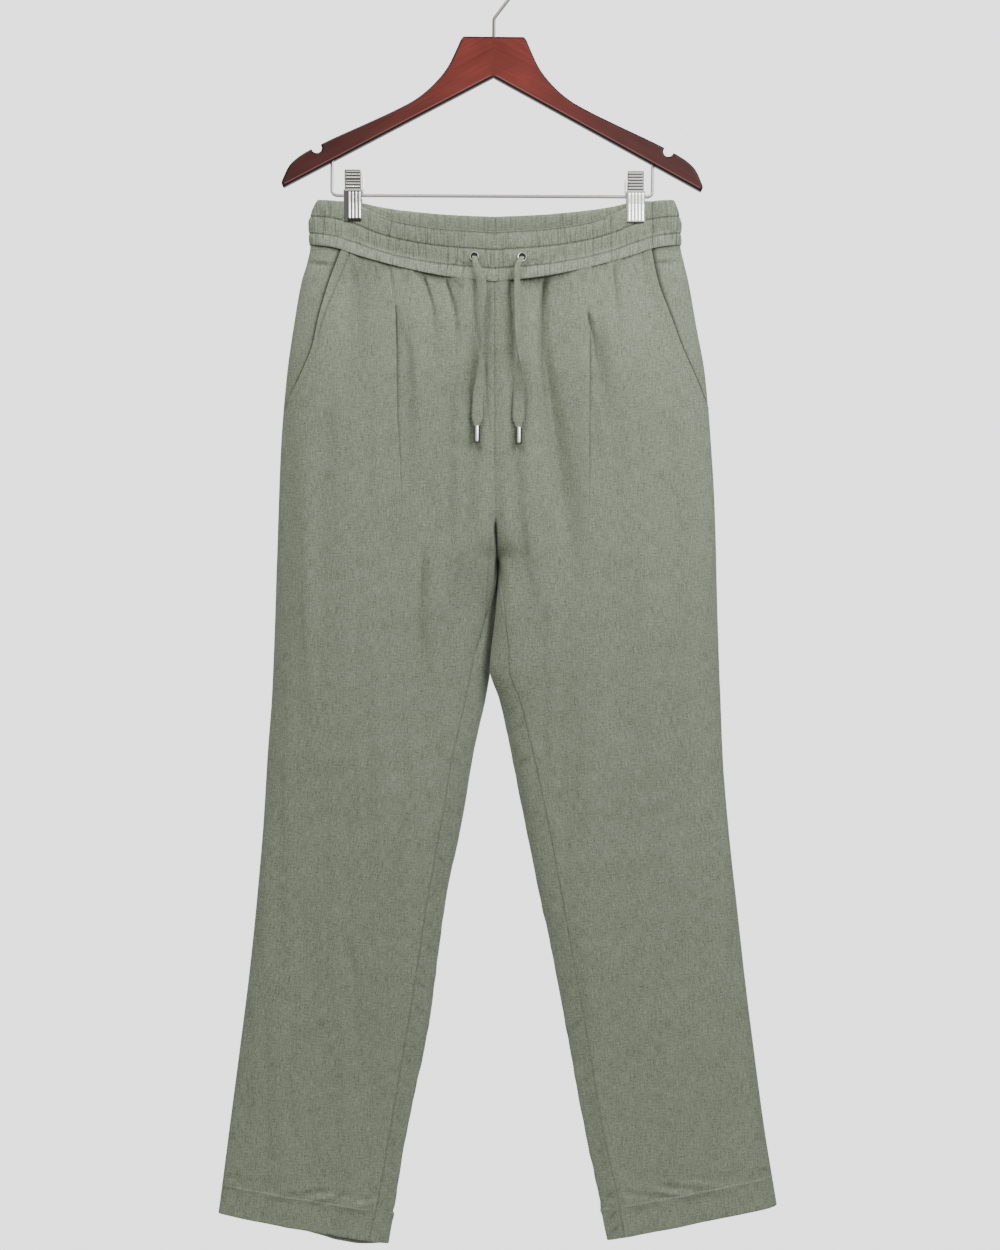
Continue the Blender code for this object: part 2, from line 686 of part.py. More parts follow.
# ---------------------------------------------------------------- eyelets and drawcords
def build_eyelet(side, metal):
    """A pressed ring on the band's middle row, turned to face as the cloth faces."""
    x, z = EYELETS[side]
    line = band_line("front", EYELET_DOWN, -BAND_PROUD)
    near = int(np.argmin(np.abs(line[:, 0] - x)))
    along = line[near + 3] - line[near - 3]
    turn = math.atan2(along[1], along[0])
    profile = [(EYELET_INNER, 0.0), (EYELET_OUTER, 0.0), (EYELET_OUTER - 0.2, -0.9),
               ((EYELET_INNER + EYELET_OUTER) / 2, -EYELET_THICK), (EYELET_INNER + 0.2, -1.0)]
    steps = 16
    points = []
    for k in range(steps):
        angle = 2 * math.pi * k / steps
        points += [(r * math.cos(angle), y, r * math.sin(angle)) for r, y in profile]
    faces = []
    for k in range(steps):
        for i in range(len(profile)):
            a, b = k * len(profile) + i, k * len(profile) + (i + 1) % len(profile)
            c, d = [(v + len(profile)) % (steps * len(profile)) for v in (a, b)]
            faces.append((a, b, d, c))
    made = add_object(f"eyelet_{side}", mesh_of(points, faces), metal, 40)
    made.matrix_world = (
        Matrix.Translation(np.array([x, line[near, 1] - EYELET_LIFT, z]) * MM)
        @ Matrix.Rotation(turn, 4, "Z")
    )


def smooth_route(rows, count):
    """The route's columns read from a smooth curve at count points."""
    rows = np.array(rows)
    run = np.concatenate([[0], np.cumsum(np.linalg.norm(np.diff(rows[:, :3], axis=0), axis=1))])
    at = np.linspace(0, run[-1], count)
    return np.stack([curve_through(at, run, rows[:, k]) for k in range(rows.shape[1])], axis=-1)


def build_cord(side, cloth, metal):
    """A flat tape that hangs from its eyelet, twists, and ends in a metal tube."""
    steps, around = 26, 10
    route = smooth_route(CORD_ROUTES[side], steps)
    rings = []
    for k in range(steps):
        place, scale, twist = route[k, :3], route[k, 3], math.radians(route[k, 4])
        along = route[min(k + 1, steps - 1), :3] - route[max(k - 1, 0), :3]
        along /= np.linalg.norm(along)
        wide = np.cross(along, np.cross((1.0, 0.0, 0.0), along))
        wide /= np.linalg.norm(wide)
        deep = np.cross(along, wide)
        turned = wide * math.cos(twist) + deep * math.sin(twist)
        normal = np.cross(along, turned)
        for i in range(around):
            angle = 2 * math.pi * i / around
            flat = turned * math.cos(angle) * TAPE_WIDTH / 2
            rings.append(place + scale * (flat + normal * math.sin(angle) * TAPE_THICK / 2))
    faces = [tuple(range(around)), tuple((steps - 1) * around + i for i in range(around))]
    for k in range(steps - 1):
        for i in range(around):
            a, b = k * around + i, k * around + (i + 1) % around
            faces.append((a, b, b + around, a + around))
    add_object(f"drawcord_{side}", mesh_of(rings, faces), cloth, 50)
    end = route[-1, :3]
    top = end - (0, 0, SEAM_GAP)
    tube = wire_mesh([top, top - (0, 0, 1.0), top - (0, 0, TIP_LENGTH - 1.0), top - (0, 0, TIP_LENGTH)],
                     TIP_RADIUS, 3)
    add_object(f"cord_tip_{side}", tube, metal, 40)


# ---------------------------------------------------------------- hanger
# Half of the wood's outline, from its top centre: x, down, corner.
ARM_OUTLINE = (
    (0.15, 0.0, True),
    (31.8, 0.0, True),
    (33.9, -2.2, False),
    (38.0, -11.1, False),
    (48.5, -32.7, False),
    (64.9, -52.7, False),
    (82.3, -67.0, False),
    (104.4, -79.1, False),
    (134.4, -93.3, False),
    (180.3, -114.9, False),
    (205.1, -129.2, False),
    (214.1, -138.1, False),
    (219.3, -148.7, False),
    (222.0, -156.5, False),
    (220.0, -160.9, True),
    (0.15, -42.7, True),
)
ARM_UNDERSIDE = ((0.15, 220.0), (-42.7, -160.9))
NOTCH = (185.2, -119.1, 5.3)
HOOK_SEAT = 26.0
BAR_SEAT = 12.0
BAR_DOWN = {"left": -168.3, "right": -166.5}


def build_arm(side, hanger, wood):
    """One half of the shaped board, its edges rounded, notched and drilled."""
    sign = -1 if side == "left" else 1
    data = bpy.data.curves.new("arm", "CURVE")
    data.dimensions = "2D"
    data.fill_mode = "BOTH"
    data.resolution_u = 3
    data.extrude = WOOD_THICK / 2 * MM
    spline = data.splines.new("BEZIER")
    spline.bezier_points.add(len(ARM_OUTLINE) - 1)
    for point, (x, down, corner) in zip(spline.bezier_points, ARM_OUTLINE):
        point.co = (sign * x * MM, down * MM, 0)
        point.handle_left_type = point.handle_right_type = "VECTOR" if corner else "AUTO"
    spline.use_cyclic_u = True
    made = bpy.data.objects.new("arm", data)
    PARTS.objects.link(made)
    made.rotation_euler = (math.pi / 2, 0, 0)
    made.location = (0, 0, WOOD_TOP * MM)
    arm = add_object(f"hanger_arm_{side}", mesh_from_curve(made), wood, 35)
    edge = arm.modifiers.new("rounded edge", "BEVEL")
    edge.width = WOOD_EDGE * MM
    edge.segments = 2
    edge.limit_method = "ANGLE"
    edge.angle_limit = math.radians(60)
    arm.parent = hanger
    x, down, radius = NOTCH
    under = WOOD_TOP + np.interp(BAR_HALF, *ARM_UNDERSIDE)
    cutters = (
        cylinder(f"notch_{side}", radius, 20, (sign * x, 0, WOOD_TOP + down), "Y", 16),
        cylinder(f"hook_seat_{side}", HOOK_WIRE / 2 + SEAM_GAP, 2 * HOOK_SEAT,
                 (0, 0, WOOD_TOP), "Z", 16),
        cylinder(f"bar_seat_{side}", BAR_WIRE / 2 + SEAM_GAP, 2 * BAR_SEAT,
                 (sign * BAR_HALF, 0, under), "Z", 16),
    )
    for cutter in cutters:
        cutter.parent = hanger
        boolean(arm, cutter, "DIFFERENCE")


def build_hook(hanger, metal):
    """A round wire: a stem in the wood, a bend, and the open crook over the rail."""
    centre = -(HOOK_RADIUS - HOOK_WIRE / 2)
    bend = WOOD_TOP + HOOK_STEM
    line = [(0, 0, WOOD_TOP - HOOK_SEAT + SEAM_GAP), (0, 0, bend - 3.0),
            (0.5, 0, bend - 0.6), (2.4, 0, bend + 2.6)]
    start, end = HOOK_ARC
    for angle in np.radians(np.linspace(start, end, 31)):
        line.append((HOOK_RADIUS * math.cos(angle), 0, centre + HOOK_RADIUS * math.sin(angle)))
    add_object("hanger_hook", wire_mesh(line, HOOK_WIRE / 2), metal, 40).parent = hanger


def build_bar(hanger, metal):
    """A round wire bent down from the arms and across below them."""
    line = []
    for side, sign in (("left", -1), ("right", 1)):
        z = WOOD_TOP + BAR_DOWN[side]
        top = WOOD_TOP + np.interp(BAR_HALF, *ARM_UNDERSIDE) + BAR_SEAT - SEAM_GAP
        half = [(sign * BAR_HALF, 0, top)]
        for k in range(6):
            angle = math.pi / 2 * k / 5
            half.append((sign * (BAR_HALF - BAR_CORNER * (1 - math.cos(angle))), 0,
                         z + BAR_CORNER * (1 - math.sin(angle))))
        line += half if sign < 0 else half[::-1]
    add_object("trouser_bar", wire_mesh(line, BAR_WIRE / 2), metal, 40).parent = hanger


# One jaw of a clip, down from its handle: height above the bar, half width, inner face.
JAW_ROWS = (
    (25.8, 8.6, 9.5),
    (5.6, 8.6, 5.7),
    (5.0, 9.8, 5.6),
    (0.0, 9.8, 4.95),
    (-8.0, 9.8, 3.9),
    (-16.0, 9.8, CLIP_GRIP),
    (-28.2, 9.8, CLIP_GRIP),
)
JAW_THICK = 1.0
SLEEVE_RADIUS = 4.5
BORE_GAP = 0.35
SLEEVE_HALF = 9.6
SLEEVE_REACH = 2.2
LEG_RADIUS = 0.9
LEG_LENGTH = 17.5
LEG_UP = 11.3


def build_clip(side, metal):
    """Two sprung jaws on the bar that hold the waistband between them."""
    x, z = CLIP_X[side], CLIP_Z[side]
    inward = 1 if side == "left" else -1
    for name, face in (("front", -1), ("back", 1)):
        skins = []
        for extra in (JAW_THICK, 0.0):
            skins.append(np.array([
                [(x + share * half, face * (inner + extra), z + up) for share in (-1, 0, 1)]
                for up, half, inner in JAW_ROWS
            ]))
        add_wall(f"clip_{side}_{name}_jaw", skins[0], skins[1], metal)
    reach = SLEEVE_HALF + SLEEVE_REACH
    middle = x + inward * (reach - SLEEVE_HALF) / 2
    blank = cylinder("sleeve", SLEEVE_RADIUS, reach + SLEEVE_HALF, (middle, 0, z), "X", 20)
    mesh = blank.data
    mesh.transform(Matrix.Translation(blank.location))
    bpy.data.objects.remove(blank)
    spring = add_object(f"clip_{side}_spring", mesh, metal, 40)
    beside = x + inward * (reach - LEG_RADIUS - 0.2)
    leg = cylinder(f"spring_leg_{side}", LEG_RADIUS, LEG_LENGTH, (beside, 0, z + LEG_UP), "Z", 10)
    boolean(spring, leg, "UNION")
    bore = cylinder(f"bar_bore_{side}", BAR_WIRE / 2 + BORE_GAP, 40, (x, 0, z), "X", 16)
    boolean(spring, bore, "DIFFERENCE")


# ---------------------------------------------------------------- the model
for old in list(bpy.data.objects):
    bpy.data.objects.remove(old)
PARTS = bpy.data.collections.new("drawstring trousers on a clip hanger")
CUTTERS = bpy.data.collections.new("cutters")
bpy.context.scene.collection.children.link(PARTS)
bpy.context.scene.collection.children.link(CUTTERS)

linen = material("sage linen", (0.25, 0.29, 0.22), 0.9, 0.0)
nickel = material("nickel", (0.62, 0.61, 0.58), 0.25, 1.0)
steel = material("brushed steel", (0.55, 0.53, 0.50), 0.35, 1.0)
stained_wood = material("stained wood", (0.20, 0.035, 0.025), 0.3, 0.0)

tilted_hanger = bpy.data.objects.new("tilted_hanger", None)
tilted_hanger.rotation_euler = (0, HANGER_TILT, 0)
PARTS.objects.link(tilted_hanger)

build_waistband(linen)
for leg_side in ("left", "right"):
    build_panels(leg_side, linen)
    build_facing(leg_side, linen)
    build_eyelet(leg_side, nickel)
    build_cord(leg_side, linen, nickel)
    build_arm(leg_side, tilted_hanger, stained_wood)
    build_clip(leg_side, nickel)
build_hook(tilted_hanger, steel)
build_bar(tilted_hanger, steel)
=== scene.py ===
import math

import bpy
import numpy as np
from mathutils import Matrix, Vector


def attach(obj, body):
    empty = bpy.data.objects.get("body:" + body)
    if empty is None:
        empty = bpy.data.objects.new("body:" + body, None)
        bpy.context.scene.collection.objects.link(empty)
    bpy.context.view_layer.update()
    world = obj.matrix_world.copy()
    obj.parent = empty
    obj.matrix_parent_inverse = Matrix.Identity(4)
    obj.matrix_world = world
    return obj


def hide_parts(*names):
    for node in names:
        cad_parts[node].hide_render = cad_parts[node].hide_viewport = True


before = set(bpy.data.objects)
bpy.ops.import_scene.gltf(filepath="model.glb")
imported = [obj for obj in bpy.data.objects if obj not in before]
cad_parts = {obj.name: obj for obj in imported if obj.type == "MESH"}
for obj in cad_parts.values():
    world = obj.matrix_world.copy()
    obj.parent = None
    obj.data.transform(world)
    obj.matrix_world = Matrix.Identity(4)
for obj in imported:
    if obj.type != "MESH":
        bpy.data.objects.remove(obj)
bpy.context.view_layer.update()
MM = 0.001
ROOT = "root"


# ---------------------------------------------------------------- camera, light and floor
# The garment hangs clear of a plain pale floor. A large soft light stands high at the front left,
# a smaller one at the right fills the shadows, and one behind lights the back.
camera_data = bpy.data.cameras.new("camera")
camera_data.sensor_fit = "VERTICAL"
camera_data.sensor_height = 36.0
camera_distance = 3.1
seen_height = 1.318125
camera_data.lens = camera_data.sensor_height * camera_distance / seen_height
camera = bpy.data.objects.new("camera", camera_data)
picture_x, picture_z = 0.0058, -0.6935
camera.location = (picture_x, -camera_distance, picture_z)
camera.rotation_euler = (math.pi / 2, 0, 0)
bpy.context.scene.collection.objects.link(camera)
bpy.context.scene.camera = camera


def soft_light(name, place, aim, size, power, colour):
    data = bpy.data.lights.new(name, "AREA")
    data.shape = "DISK"
    data.size = size
    data.energy = power
    data.color = colour
    lamp = bpy.data.objects.new(name, data)
    lamp.location = place
    lamp.rotation_euler = (Vector(aim) - Vector(place)).to_track_quat("-Z", "Y").to_euler()
    bpy.context.scene.collection.objects.link(lamp)


soft_light("key", (-1.05, -1.35, 1.75), (0.0, 0.0, -0.3), 1.6, 77.0, (1.0, 0.985, 0.96))
soft_light("fill", (0.8, -0.9, 0.2), (0.1, 0.0, -0.3), 1.25, 24.0, (0.97, 0.99, 1.0))
soft_light("back", (0.9, 2.4, 0.6), (0.0, 0.0, -0.6), 1.8, 70.0, (1.0, 1.0, 1.0))

# The pale air looks bright to the eye and in polished metal, and lights the cloth only softly.
pale_air = bpy.data.worlds.new("pale air")
bpy.context.scene.world = pale_air
pale_air.use_nodes = True
air = pale_air.node_tree.nodes["Background"]
air.inputs["Color"].default_value = (0.995, 1.0, 1.0, 1)
ray = pale_air.node_tree.nodes.new("ShaderNodeLightPath")
brightness = pale_air.node_tree.nodes.new("ShaderNodeMath")
brightness.operation = "MULTIPLY_ADD"
brightness.inputs[1].default_value = 2.10
brightness.inputs[2].default_value = 0.21
polish = pale_air.node_tree.nodes.new("ShaderNodeMath")
polish.operation = "MULTIPLY_ADD"
polish.inputs[1].default_value = 0.89
pale_air.node_tree.links.new(ray.outputs["Is Camera Ray"], brightness.inputs[0])
pale_air.node_tree.links.new(ray.outputs["Is Glossy Ray"], polish.inputs[0])
pale_air.node_tree.links.new(brightness.outputs[0], polish.inputs[2])
pale_air.node_tree.links.new(polish.outputs[0], air.inputs["Strength"])

floor_mesh = bpy.data.meshes.new("floor")
floor_half, floor_z = 0.75, -1.52
floor_corners = ((-1, -1), (1, -1), (1, 1), (-1, 1))
floor_mesh.from_pydata([(x * floor_half, y * floor_half, floor_z) for x, y in floor_corners],
                       [], [(0, 1, 2, 3)])
floor = bpy.data.objects.new("floor", floor_mesh)
bpy.context.scene.collection.objects.link(floor)
pale_floor = bpy.data.materials.new("pale floor")
pale_floor.use_nodes = True
floor_shader = pale_floor.node_tree.nodes["Principled BSDF"]
floor_shader.inputs["Base Color"].default_value = (0.72, 0.72, 0.71, 1)
floor_shader.inputs["Roughness"].default_value = 0.9
floor_mesh.materials.append(pale_floor)


# ---------------------------------------------------------------- front panels
# Two panels of slubby sage-green plain-weave linen, cut on the straight grain. Each has one pleat,
# pressed in at the waist, and is cut away along the pocket's slant; the hem is turned up and stitched.
WAIST_TOP, WAIST_SEAM = -246.4, -293.7
SAG_END, FORK = -520.0, -621.0
CROTCH_FRONT, CROTCH_BACK = -562.0, -545.0
CREST_TOP, CREST_RUN, ROUNDNESS = -500.0, 260.0, 2.5
HEM_DEPTH = 30.0
HEM_SIDE = {"left": -1313.4, "right": -1304.9}
HEM_FALL = {"left": 31.8, "right": 37.1}
HEM_BACK_DIP = {"left": 9.0, "right": 5.5}
BACK_SEAM_X = 1.5
EDGE_LEAN = {"left": 13.0, "right": -13.0}
LEAN_TOP, LEAN_END, LEAN_FADE, LEAN_POWER = 60.0, -800.0, 80.0, 9
CLIP_REACH, CLIP_SPREAD, CLIP_FLATTEN, CLIP_FADE = 149.0, 28.0, 0.35, 110.0
POCKET_END, POCKET_CLOSE = -466.0, -460.0

# level, left_outer, left_inner, right_inner, right_outer, front_depth, back_depth
SECTIONS = np.array([
    (-246.4, -186.6, -0.15, 0.15, 188.9, 29.0, 14.0),
    (-257.0, -191.5, -0.15, 0.15, 192.6, 29.0, 14.0),
    (-270.0, -195.0, -0.15, 0.15, 195.4, 29.0, 14.0),
    (-294.0, -194.3, -0.15, 0.15, 196.1, 29.0, 14.0),
    (-312.0, -197.6, -0.15, 0.15, 199.8, 30.5, 17.0),
    (-330.0, -203.0, -0.15, 0.15, 204.2, 33.0, 21.0),
    (-377.0, -211.4, -0.15, 0.15, 212.5, 37.0, 27.0),
    (-430.0, -218.9, -0.1, 0.2, 222.0, 39.0, 30.0),
    (-509.0, -225.3, 0.05, 0.35, 228.3, 38.5, 32.0),
    (-562.0, -227.4, 0.5, 0.5, 231.5, 38.0, 33.0),
    (-621.0, -229.3, 3.7, 2.7, 233.2, 37.0, 33.5),
    (-640.0, -230.0, 4.4, 2.5, 233.6, 36.5, 33.5),
    (-674.0, -231.0, 2.8, 1.2, 234.4, 36.0, 33.0),
    (-740.0, -233.4, -4.2, -4.8, 236.6, 33.5, 31.0),
    (-773.0, -235.0, -10.0, 5.8, 238.0, 32.0, 30.0),
    (-826.0, -239.0, -21.6, 18.5, 240.0, 30.0, 28.5),
    (-905.0, -243.8, -34.8, 35.3, 246.0, 26.5, 26.0),
    (-984.0, -250.6, -49.0, 50.2, 254.8, 23.5, 24.0),
    (-1063.0, -258.9, -61.2, 64.3, 263.6, 20.5, 21.0),
    (-1142.0, -268.9, -74.3, 78.6, 273.6, 17.5, 18.0),
    (-1221.0, -279.2, -88.0, 91.7, 284.2, 15.0, 15.5),
    (-1300.0, -289.4, -101.8, 109.0, 297.0, 14.0, 14.5),
    (-1345.0, -295.5, -111.7, 116.8, 304.5, 13.5, 14.0),
])
LEVEL, LEFT_OUTER, LEFT_INNER, RIGHT_INNER, RIGHT_OUTER, FRONT_DEPTH, BACK_DEPTH = SECTIONS[::-1].T
# across, top_edge, seam
SAG = np.array([
    (0.0, 1.0, 1.0),
    (0.25, 0.90, 0.87),
    (0.50, 0.68, 0.63),
    (0.65, 0.44, 0.43),
    (0.75, 0.19, 0.275),
    (0.86, 0.05, 0.10),
    (1.0, 0.0, 0.0),
])
SAG_FRONT = {"top_edge": 36.9, "seam": 41.4}
SAG_BACK = {"top_edge": 15.7, "seam": 18.0}
# z, left_x, right_x
POCKET_MOUTH = np.array([
    (-480.0, -232.0, 235.0),
    (-466.0, -222.0, 225.2),
    (-435.3, -204.9, 211.5),
    (-400.0, -190.0, 195.3),
    (-373.7, -184.4, 185.6),
    (-334.5, -173.2, 171.3),
    (-290.0, -157.0, 162.5),
])
# z, in_from_edge
LEG_SEAM = np.array([
    (-1400.0, 20.0),
    (-900.0, 21.0),
    (-735.0, 19.5),
    (-686.0, 11.0),
    (-621.0, 0.0),
])
# The pleats' creases, z and x, and how far beside them the cloth takes to come back up.
PLEAT_LINES = {
    "left": ((-650.0, -507.0, -475.0, -367.0, -315.0), (-96.0, -100.7, -102.7, -104.6, -110.8)),
    "right": ((-650.0, -434.0, -367.0, -315.0), (97.8, 97.8, 97.8, 97.2)),
}
PLEAT_RECOVER = {
    "left": ((-560.0, -434.0, -372.0, -315.0), (38.0, 26.0, 9.0, 4.0)),
    "right": ((-560.0, -434.0, -403.0, -372.0, -315.0), (40.0, 24.0, 15.0, 5.0, 3.0)),
}
PLEAT_SHARE = {
    "left": ((-640.0, -560.0, -500.0, -440.0, -375.0, -366.0, -356.0, -318.0, -306.0),
             (0.0, 0.18, 0.5, 0.9, 1.0, 0.75, 0.16, 0.12, 0.0)),
    "right": ((-620.0, -540.0, -450.0, -400.0, -378.0, -366.0), (0.0, 0.3, 0.7, 0.9, 0.7, 0.0)),
}
PLEAT_DEPTH = 3.8
PLEAT_OVERHANG = 0.9

# The largest folds, as troughs along a path of three points.
# top_x, top_z, mid_x, mid_z, low_x, low_z, depth, half_width
FOLDS = np.array([
    (54.5, -341.0, 58.0, -440.0, 88.5, -665.0, 6.0, 15.0),
    (-146.5, -325.0, -142.5, -400.0, -150.0, -480.0, 4.0, 17.0),
    (-46.0, -335.0, -37.0, -372.0, -31.0, -430.0, 3.0, 10.0),
    (-72.0, -700.0, -74.0, -790.0, -76.0, -900.0, 2.5, 18.0),
    (120.0, -640.0, 128.0, -760.0, 132.0, -900.0, 2.5, 20.0),
])
# The finer creases that only the cloth shows.
FRONT_CREASES = np.array([
    (53.5, -330.0, 51.9, -400.0, 62.0, -560.0, 6.5, 5.0),
    (57.0, -420.0, 72.0, -540.0, 88.0, -720.0, 5.0, 8.0),
    (-110.8, -318.0, -108.6, -336.0, -105.4, -364.0, 1.6, 2.0),
    (-92.0, -400.0, -90.0, -470.0, -86.0, -660.0, 2.6, 9.0),
    (112.0, -392.0, 122.0, -470.0, 134.0, -640.0, 4.5, 10.0),
    (-20.0, -470.0, -26.0, -560.0, -34.0, -720.0, 3.0, 9.0),
    (22.0, -520.0, 30.0, -640.0, 44.0, -800.0, 3.0, 9.0),
    (-175.0, -470.0, -178.0, -640.0, -184.0, -860.0, 3.0, 12.0),
    (188.0, -500.0, 196.0, -660.0, 204.0, -880.0, 3.0, 12.0),
    (-50.5, -335.0, -40.6, -372.0, -38.0, -460.0, 3.8, 3.4),
    (-75.5, -329.0, -64.8, -372.0, -61.0, -440.0, 3.3, 3.4),
    (-83.5, -325.0, -76.0, -334.0, -70.0, -345.0, 1.4, 1.8),
    (-43.0, -333.0, -37.5, -338.0, -31.0, -343.0, 1.2, 1.8),
    (-152.0, -316.0, -151.0, -372.0, -150.0, -520.0, 4.6, 8.0),
    (-163.0, -308.0, -163.5, -330.0, -166.0, -362.0, 1.0, 4.0),
    (126.1, -317.0, 130.0, -350.0, 133.0, -430.0, 3.2, 3.2),
    (147.0, -316.0, 151.0, -325.0, 155.0, -342.0, 1.6, 2.0),
    (79.7, -336.0, 79.0, -350.0, 76.0, -372.0, 1.3, 2.6),
    (108.0, -324.0, 106.0, -340.0, 104.0, -356.0, 1.2, 2.4),
    (97.9, -369.0, 107.8, -403.0, 119.0, -500.0, 4.4, 4.2),
    (-126.0, -318.0, -127.0, -334.0, -129.0, -352.0, 1.2, 2.6),
    (-9.6, -420.0, -6.5, -470.0, -0.5, -525.0, 2.6, 2.6),
    (-22.9, -316.0, -20.4, -348.0, -18.2, -420.0, 1.9, 2.0),
    (16.4, -326.0, 17.4, -360.0, 20.6, -404.0, 1.9, 2.0),
    (5.8, -572.0, 9.5, -582.0, 14.0, -594.0, 1.2, 1.2),
    (-72.8, -628.0, -74.8, -700.0, -73.8, -840.0, 3.8, 6.0),
    (-37.0, -622.0, -39.0, -660.0, -42.0, -705.0, 2.4, 6.0),
    (-104.0, -560.0, -108.0, -650.0, -112.0, -760.0, 1.6, 8.0),
    (152.0, -480.0, 158.0, -560.0, 160.0, -660.0, 1.8, 9.0),
    (104.0, -470.0, 112.0, -540.0, 118.0, -620.0, 2.0, 9.0),
    (30.0, -600.0, 40.0, -680.0, 56.0, -780.0, 2.0, 8.0),
    (-150.0, -1040.0, -140.0, -1130.0, -138.0, -1220.0, 1.6, 9.0),
    (-100.0, -930.0, -112.0, -1060.0, -128.0, -1200.0, 1.8, 10.0),
    (185.0, -960.0, 196.0, -1060.0, 205.0, -1160.0, 1.6, 9.0),
])
# Similar creases on the back, which isn't in view: under the gathers, below the seat, in the legs.
BACK_CREASES = np.array([
    (-60.0, -318.0, -57.0, -350.0, -54.0, -402.0, 2.4, 3.0),
    (-118.0, -310.0, -116.0, -350.0, -118.0, -392.0, 2.2, 3.4),
    (-28.0, -320.0, -25.0, -345.0, -22.0, -372.0, 1.6, 2.6),
    (42.0, -320.0, 44.0, -350.0, 48.0, -410.0, 2.4, 3.2),
    (96.0, -314.0, 99.0, -345.0, 101.0, -380.0, 2.0, 2.8),
    (140.0, -308.0, 141.0, -350.0, 143.0, -400.0, 2.0, 4.0),
    (-40.0, -600.0, -70.0, -680.0, -92.0, -780.0, 2.4, 9.0),
    (44.0, -600.0, 72.0, -690.0, 96.0, -790.0, 2.4, 9.0),
    (-130.0, -900.0, -142.0, -1040.0, -150.0, -1180.0, 1.8, 10.0),
    (140.0, -900.0, 156.0, -1040.0, 168.0, -1180.0, 1.8, 10.0),
])


def ease(t):
    """0 to 1 with level ends."""
    t = np.clip(t, 0.0, 1.0)
    return t * t * (3 - 2 * t)


def run_along(points):
    """How far each point of a line lies from its first, measured along the line."""
    return np.concatenate([[0.0], np.cumsum(np.linalg.norm(np.diff(points, axis=0), axis=1))])


def unit(vectors):
    """The same directions at length 1, row by row."""
    return vectors / np.linalg.norm(vectors, axis=1)[:, None]


def curve_through(at, xs, ys):
    """A monotone cubic through the rows of a table whose xs rise."""
    xs, ys = np.asarray(xs, float), np.asarray(ys, float)
    at = np.clip(np.asarray(at, float), xs[0], xs[-1])
    step = np.diff(xs)
    slope = np.diff(ys) / step
    low, high = 2 * step[1:] + step[:-1], step[1:] + 2 * step[:-1]
    turning = slope[:-1] * slope[1:] <= 0
    safe = np.where(turning, 1.0, slope[:-1]), np.where(turning, 1.0, slope[1:])
    middle = np.where(turning, 0.0, (low + high) / (low / safe[0] + high / safe[1]))
    tangent = np.concatenate([[slope[0]], middle, [slope[-1]]])
    k = np.clip(np.searchsorted(xs, at) - 1, 0, len(step) - 1)
    t = (at - xs[k]) / step[k]
    return (ys[k] * (1 + 2 * t) * (1 - t) ** 2 + ys[k + 1] * t * t * (3 - 2 * t)
            + step[k] * t * (1 - t) * (tangent[k] * (1 - t) - tangent[k + 1] * t))


LATTICES = {}


def drift(x, z, seed):
    """A soft uneven height, about -1 to 1, that turns once or so in each unit of x and z."""
    if seed not in LATTICES:
        LATTICES[seed] = np.random.default_rng(seed).uniform(-1, 1, (64, 64))
    x, z = np.broadcast_arrays(np.asarray(x, float), np.asarray(z, float))
    col, row = np.floor(x).astype(int), np.floor(z).astype(int)
    a, b = ease(x - col), ease(z - row)
    table = LATTICES[seed]
    c0, c1, r0, r1 = col % 64, (col + 1) % 64, row % 64, (row + 1) % 64
    return ((table[c0, r0] * (1 - a) + table[c1, r0] * a) * (1 - b)
            + (table[c0, r1] * (1 - a) + table[c1, r1] * a) * b)


def outer_x(side, z):
    return curve_through(z, LEVEL, LEFT_OUTER if side == "left" else RIGHT_OUTER)


def inner_x(side, z):
    return curve_through(z, LEVEL, LEFT_INNER if side == "left" else RIGHT_INNER)


def crest_at(level):
    """Where across a half section is deepest: at the middle of the body, then of each leg."""
    return float(1 - 0.5 * ease((CREST_TOP - level) / CREST_RUN))


def section(closed, crest, w):
    """Across (0 at the side, 1 at the inner edge) and depth share at w along half a section."""
    rising = w <= crest
    turn = np.where(rising, w / crest, (w - crest) / max(1 - crest, 1e-9))
    across = np.where(rising, crest * (1 - np.cos(turn * math.pi / 2)),
                      crest + (1 - crest) * np.sin(turn * math.pi / 2))
    out = np.where(rising, 1 - across / crest, (across - crest) / max(1 - crest, 1e-9))
    curve = (1 - np.clip(out, 0, 1) ** ROUNDNESS) ** (1 / ROUNDNESS)
    return across, np.where(rising, curve, (1 - closed) + closed * curve)


def along_section(crest, across):
    """The w whose across is given, the inverse of section."""
    across = min(max(across, 0.0), 1.0)
    if across <= crest:
        return crest * math.acos(1 - across / crest) * 2 / math.pi
    return crest + (1 - crest) * math.asin((across - crest) / (1 - crest)) * 2 / math.pi


def fall(side, face, level, across):
    """How far below its level at the side a row hangs, across to the inner edge."""
    sag = (SAG_FRONT if face == "front" else SAG_BACK)["seam"]
    hang = curve_through(1 - across, SAG[:, 0], SAG[:, 2])
    waist = sag * hang * (1 - ease((WAIST_SEAM - level) / (WAIST_SEAM - SAG_END)))
    leg = np.clip((FORK - level) / (FORK - HEM_SIDE[side]), 0.0, 1.0)
    dip = HEM_BACK_DIP[side] * np.sin(math.pi * across**2.5) * ease(leg) if face == "back" else 0.0
    return waist + HEM_FALL[side] * leg * across + dip


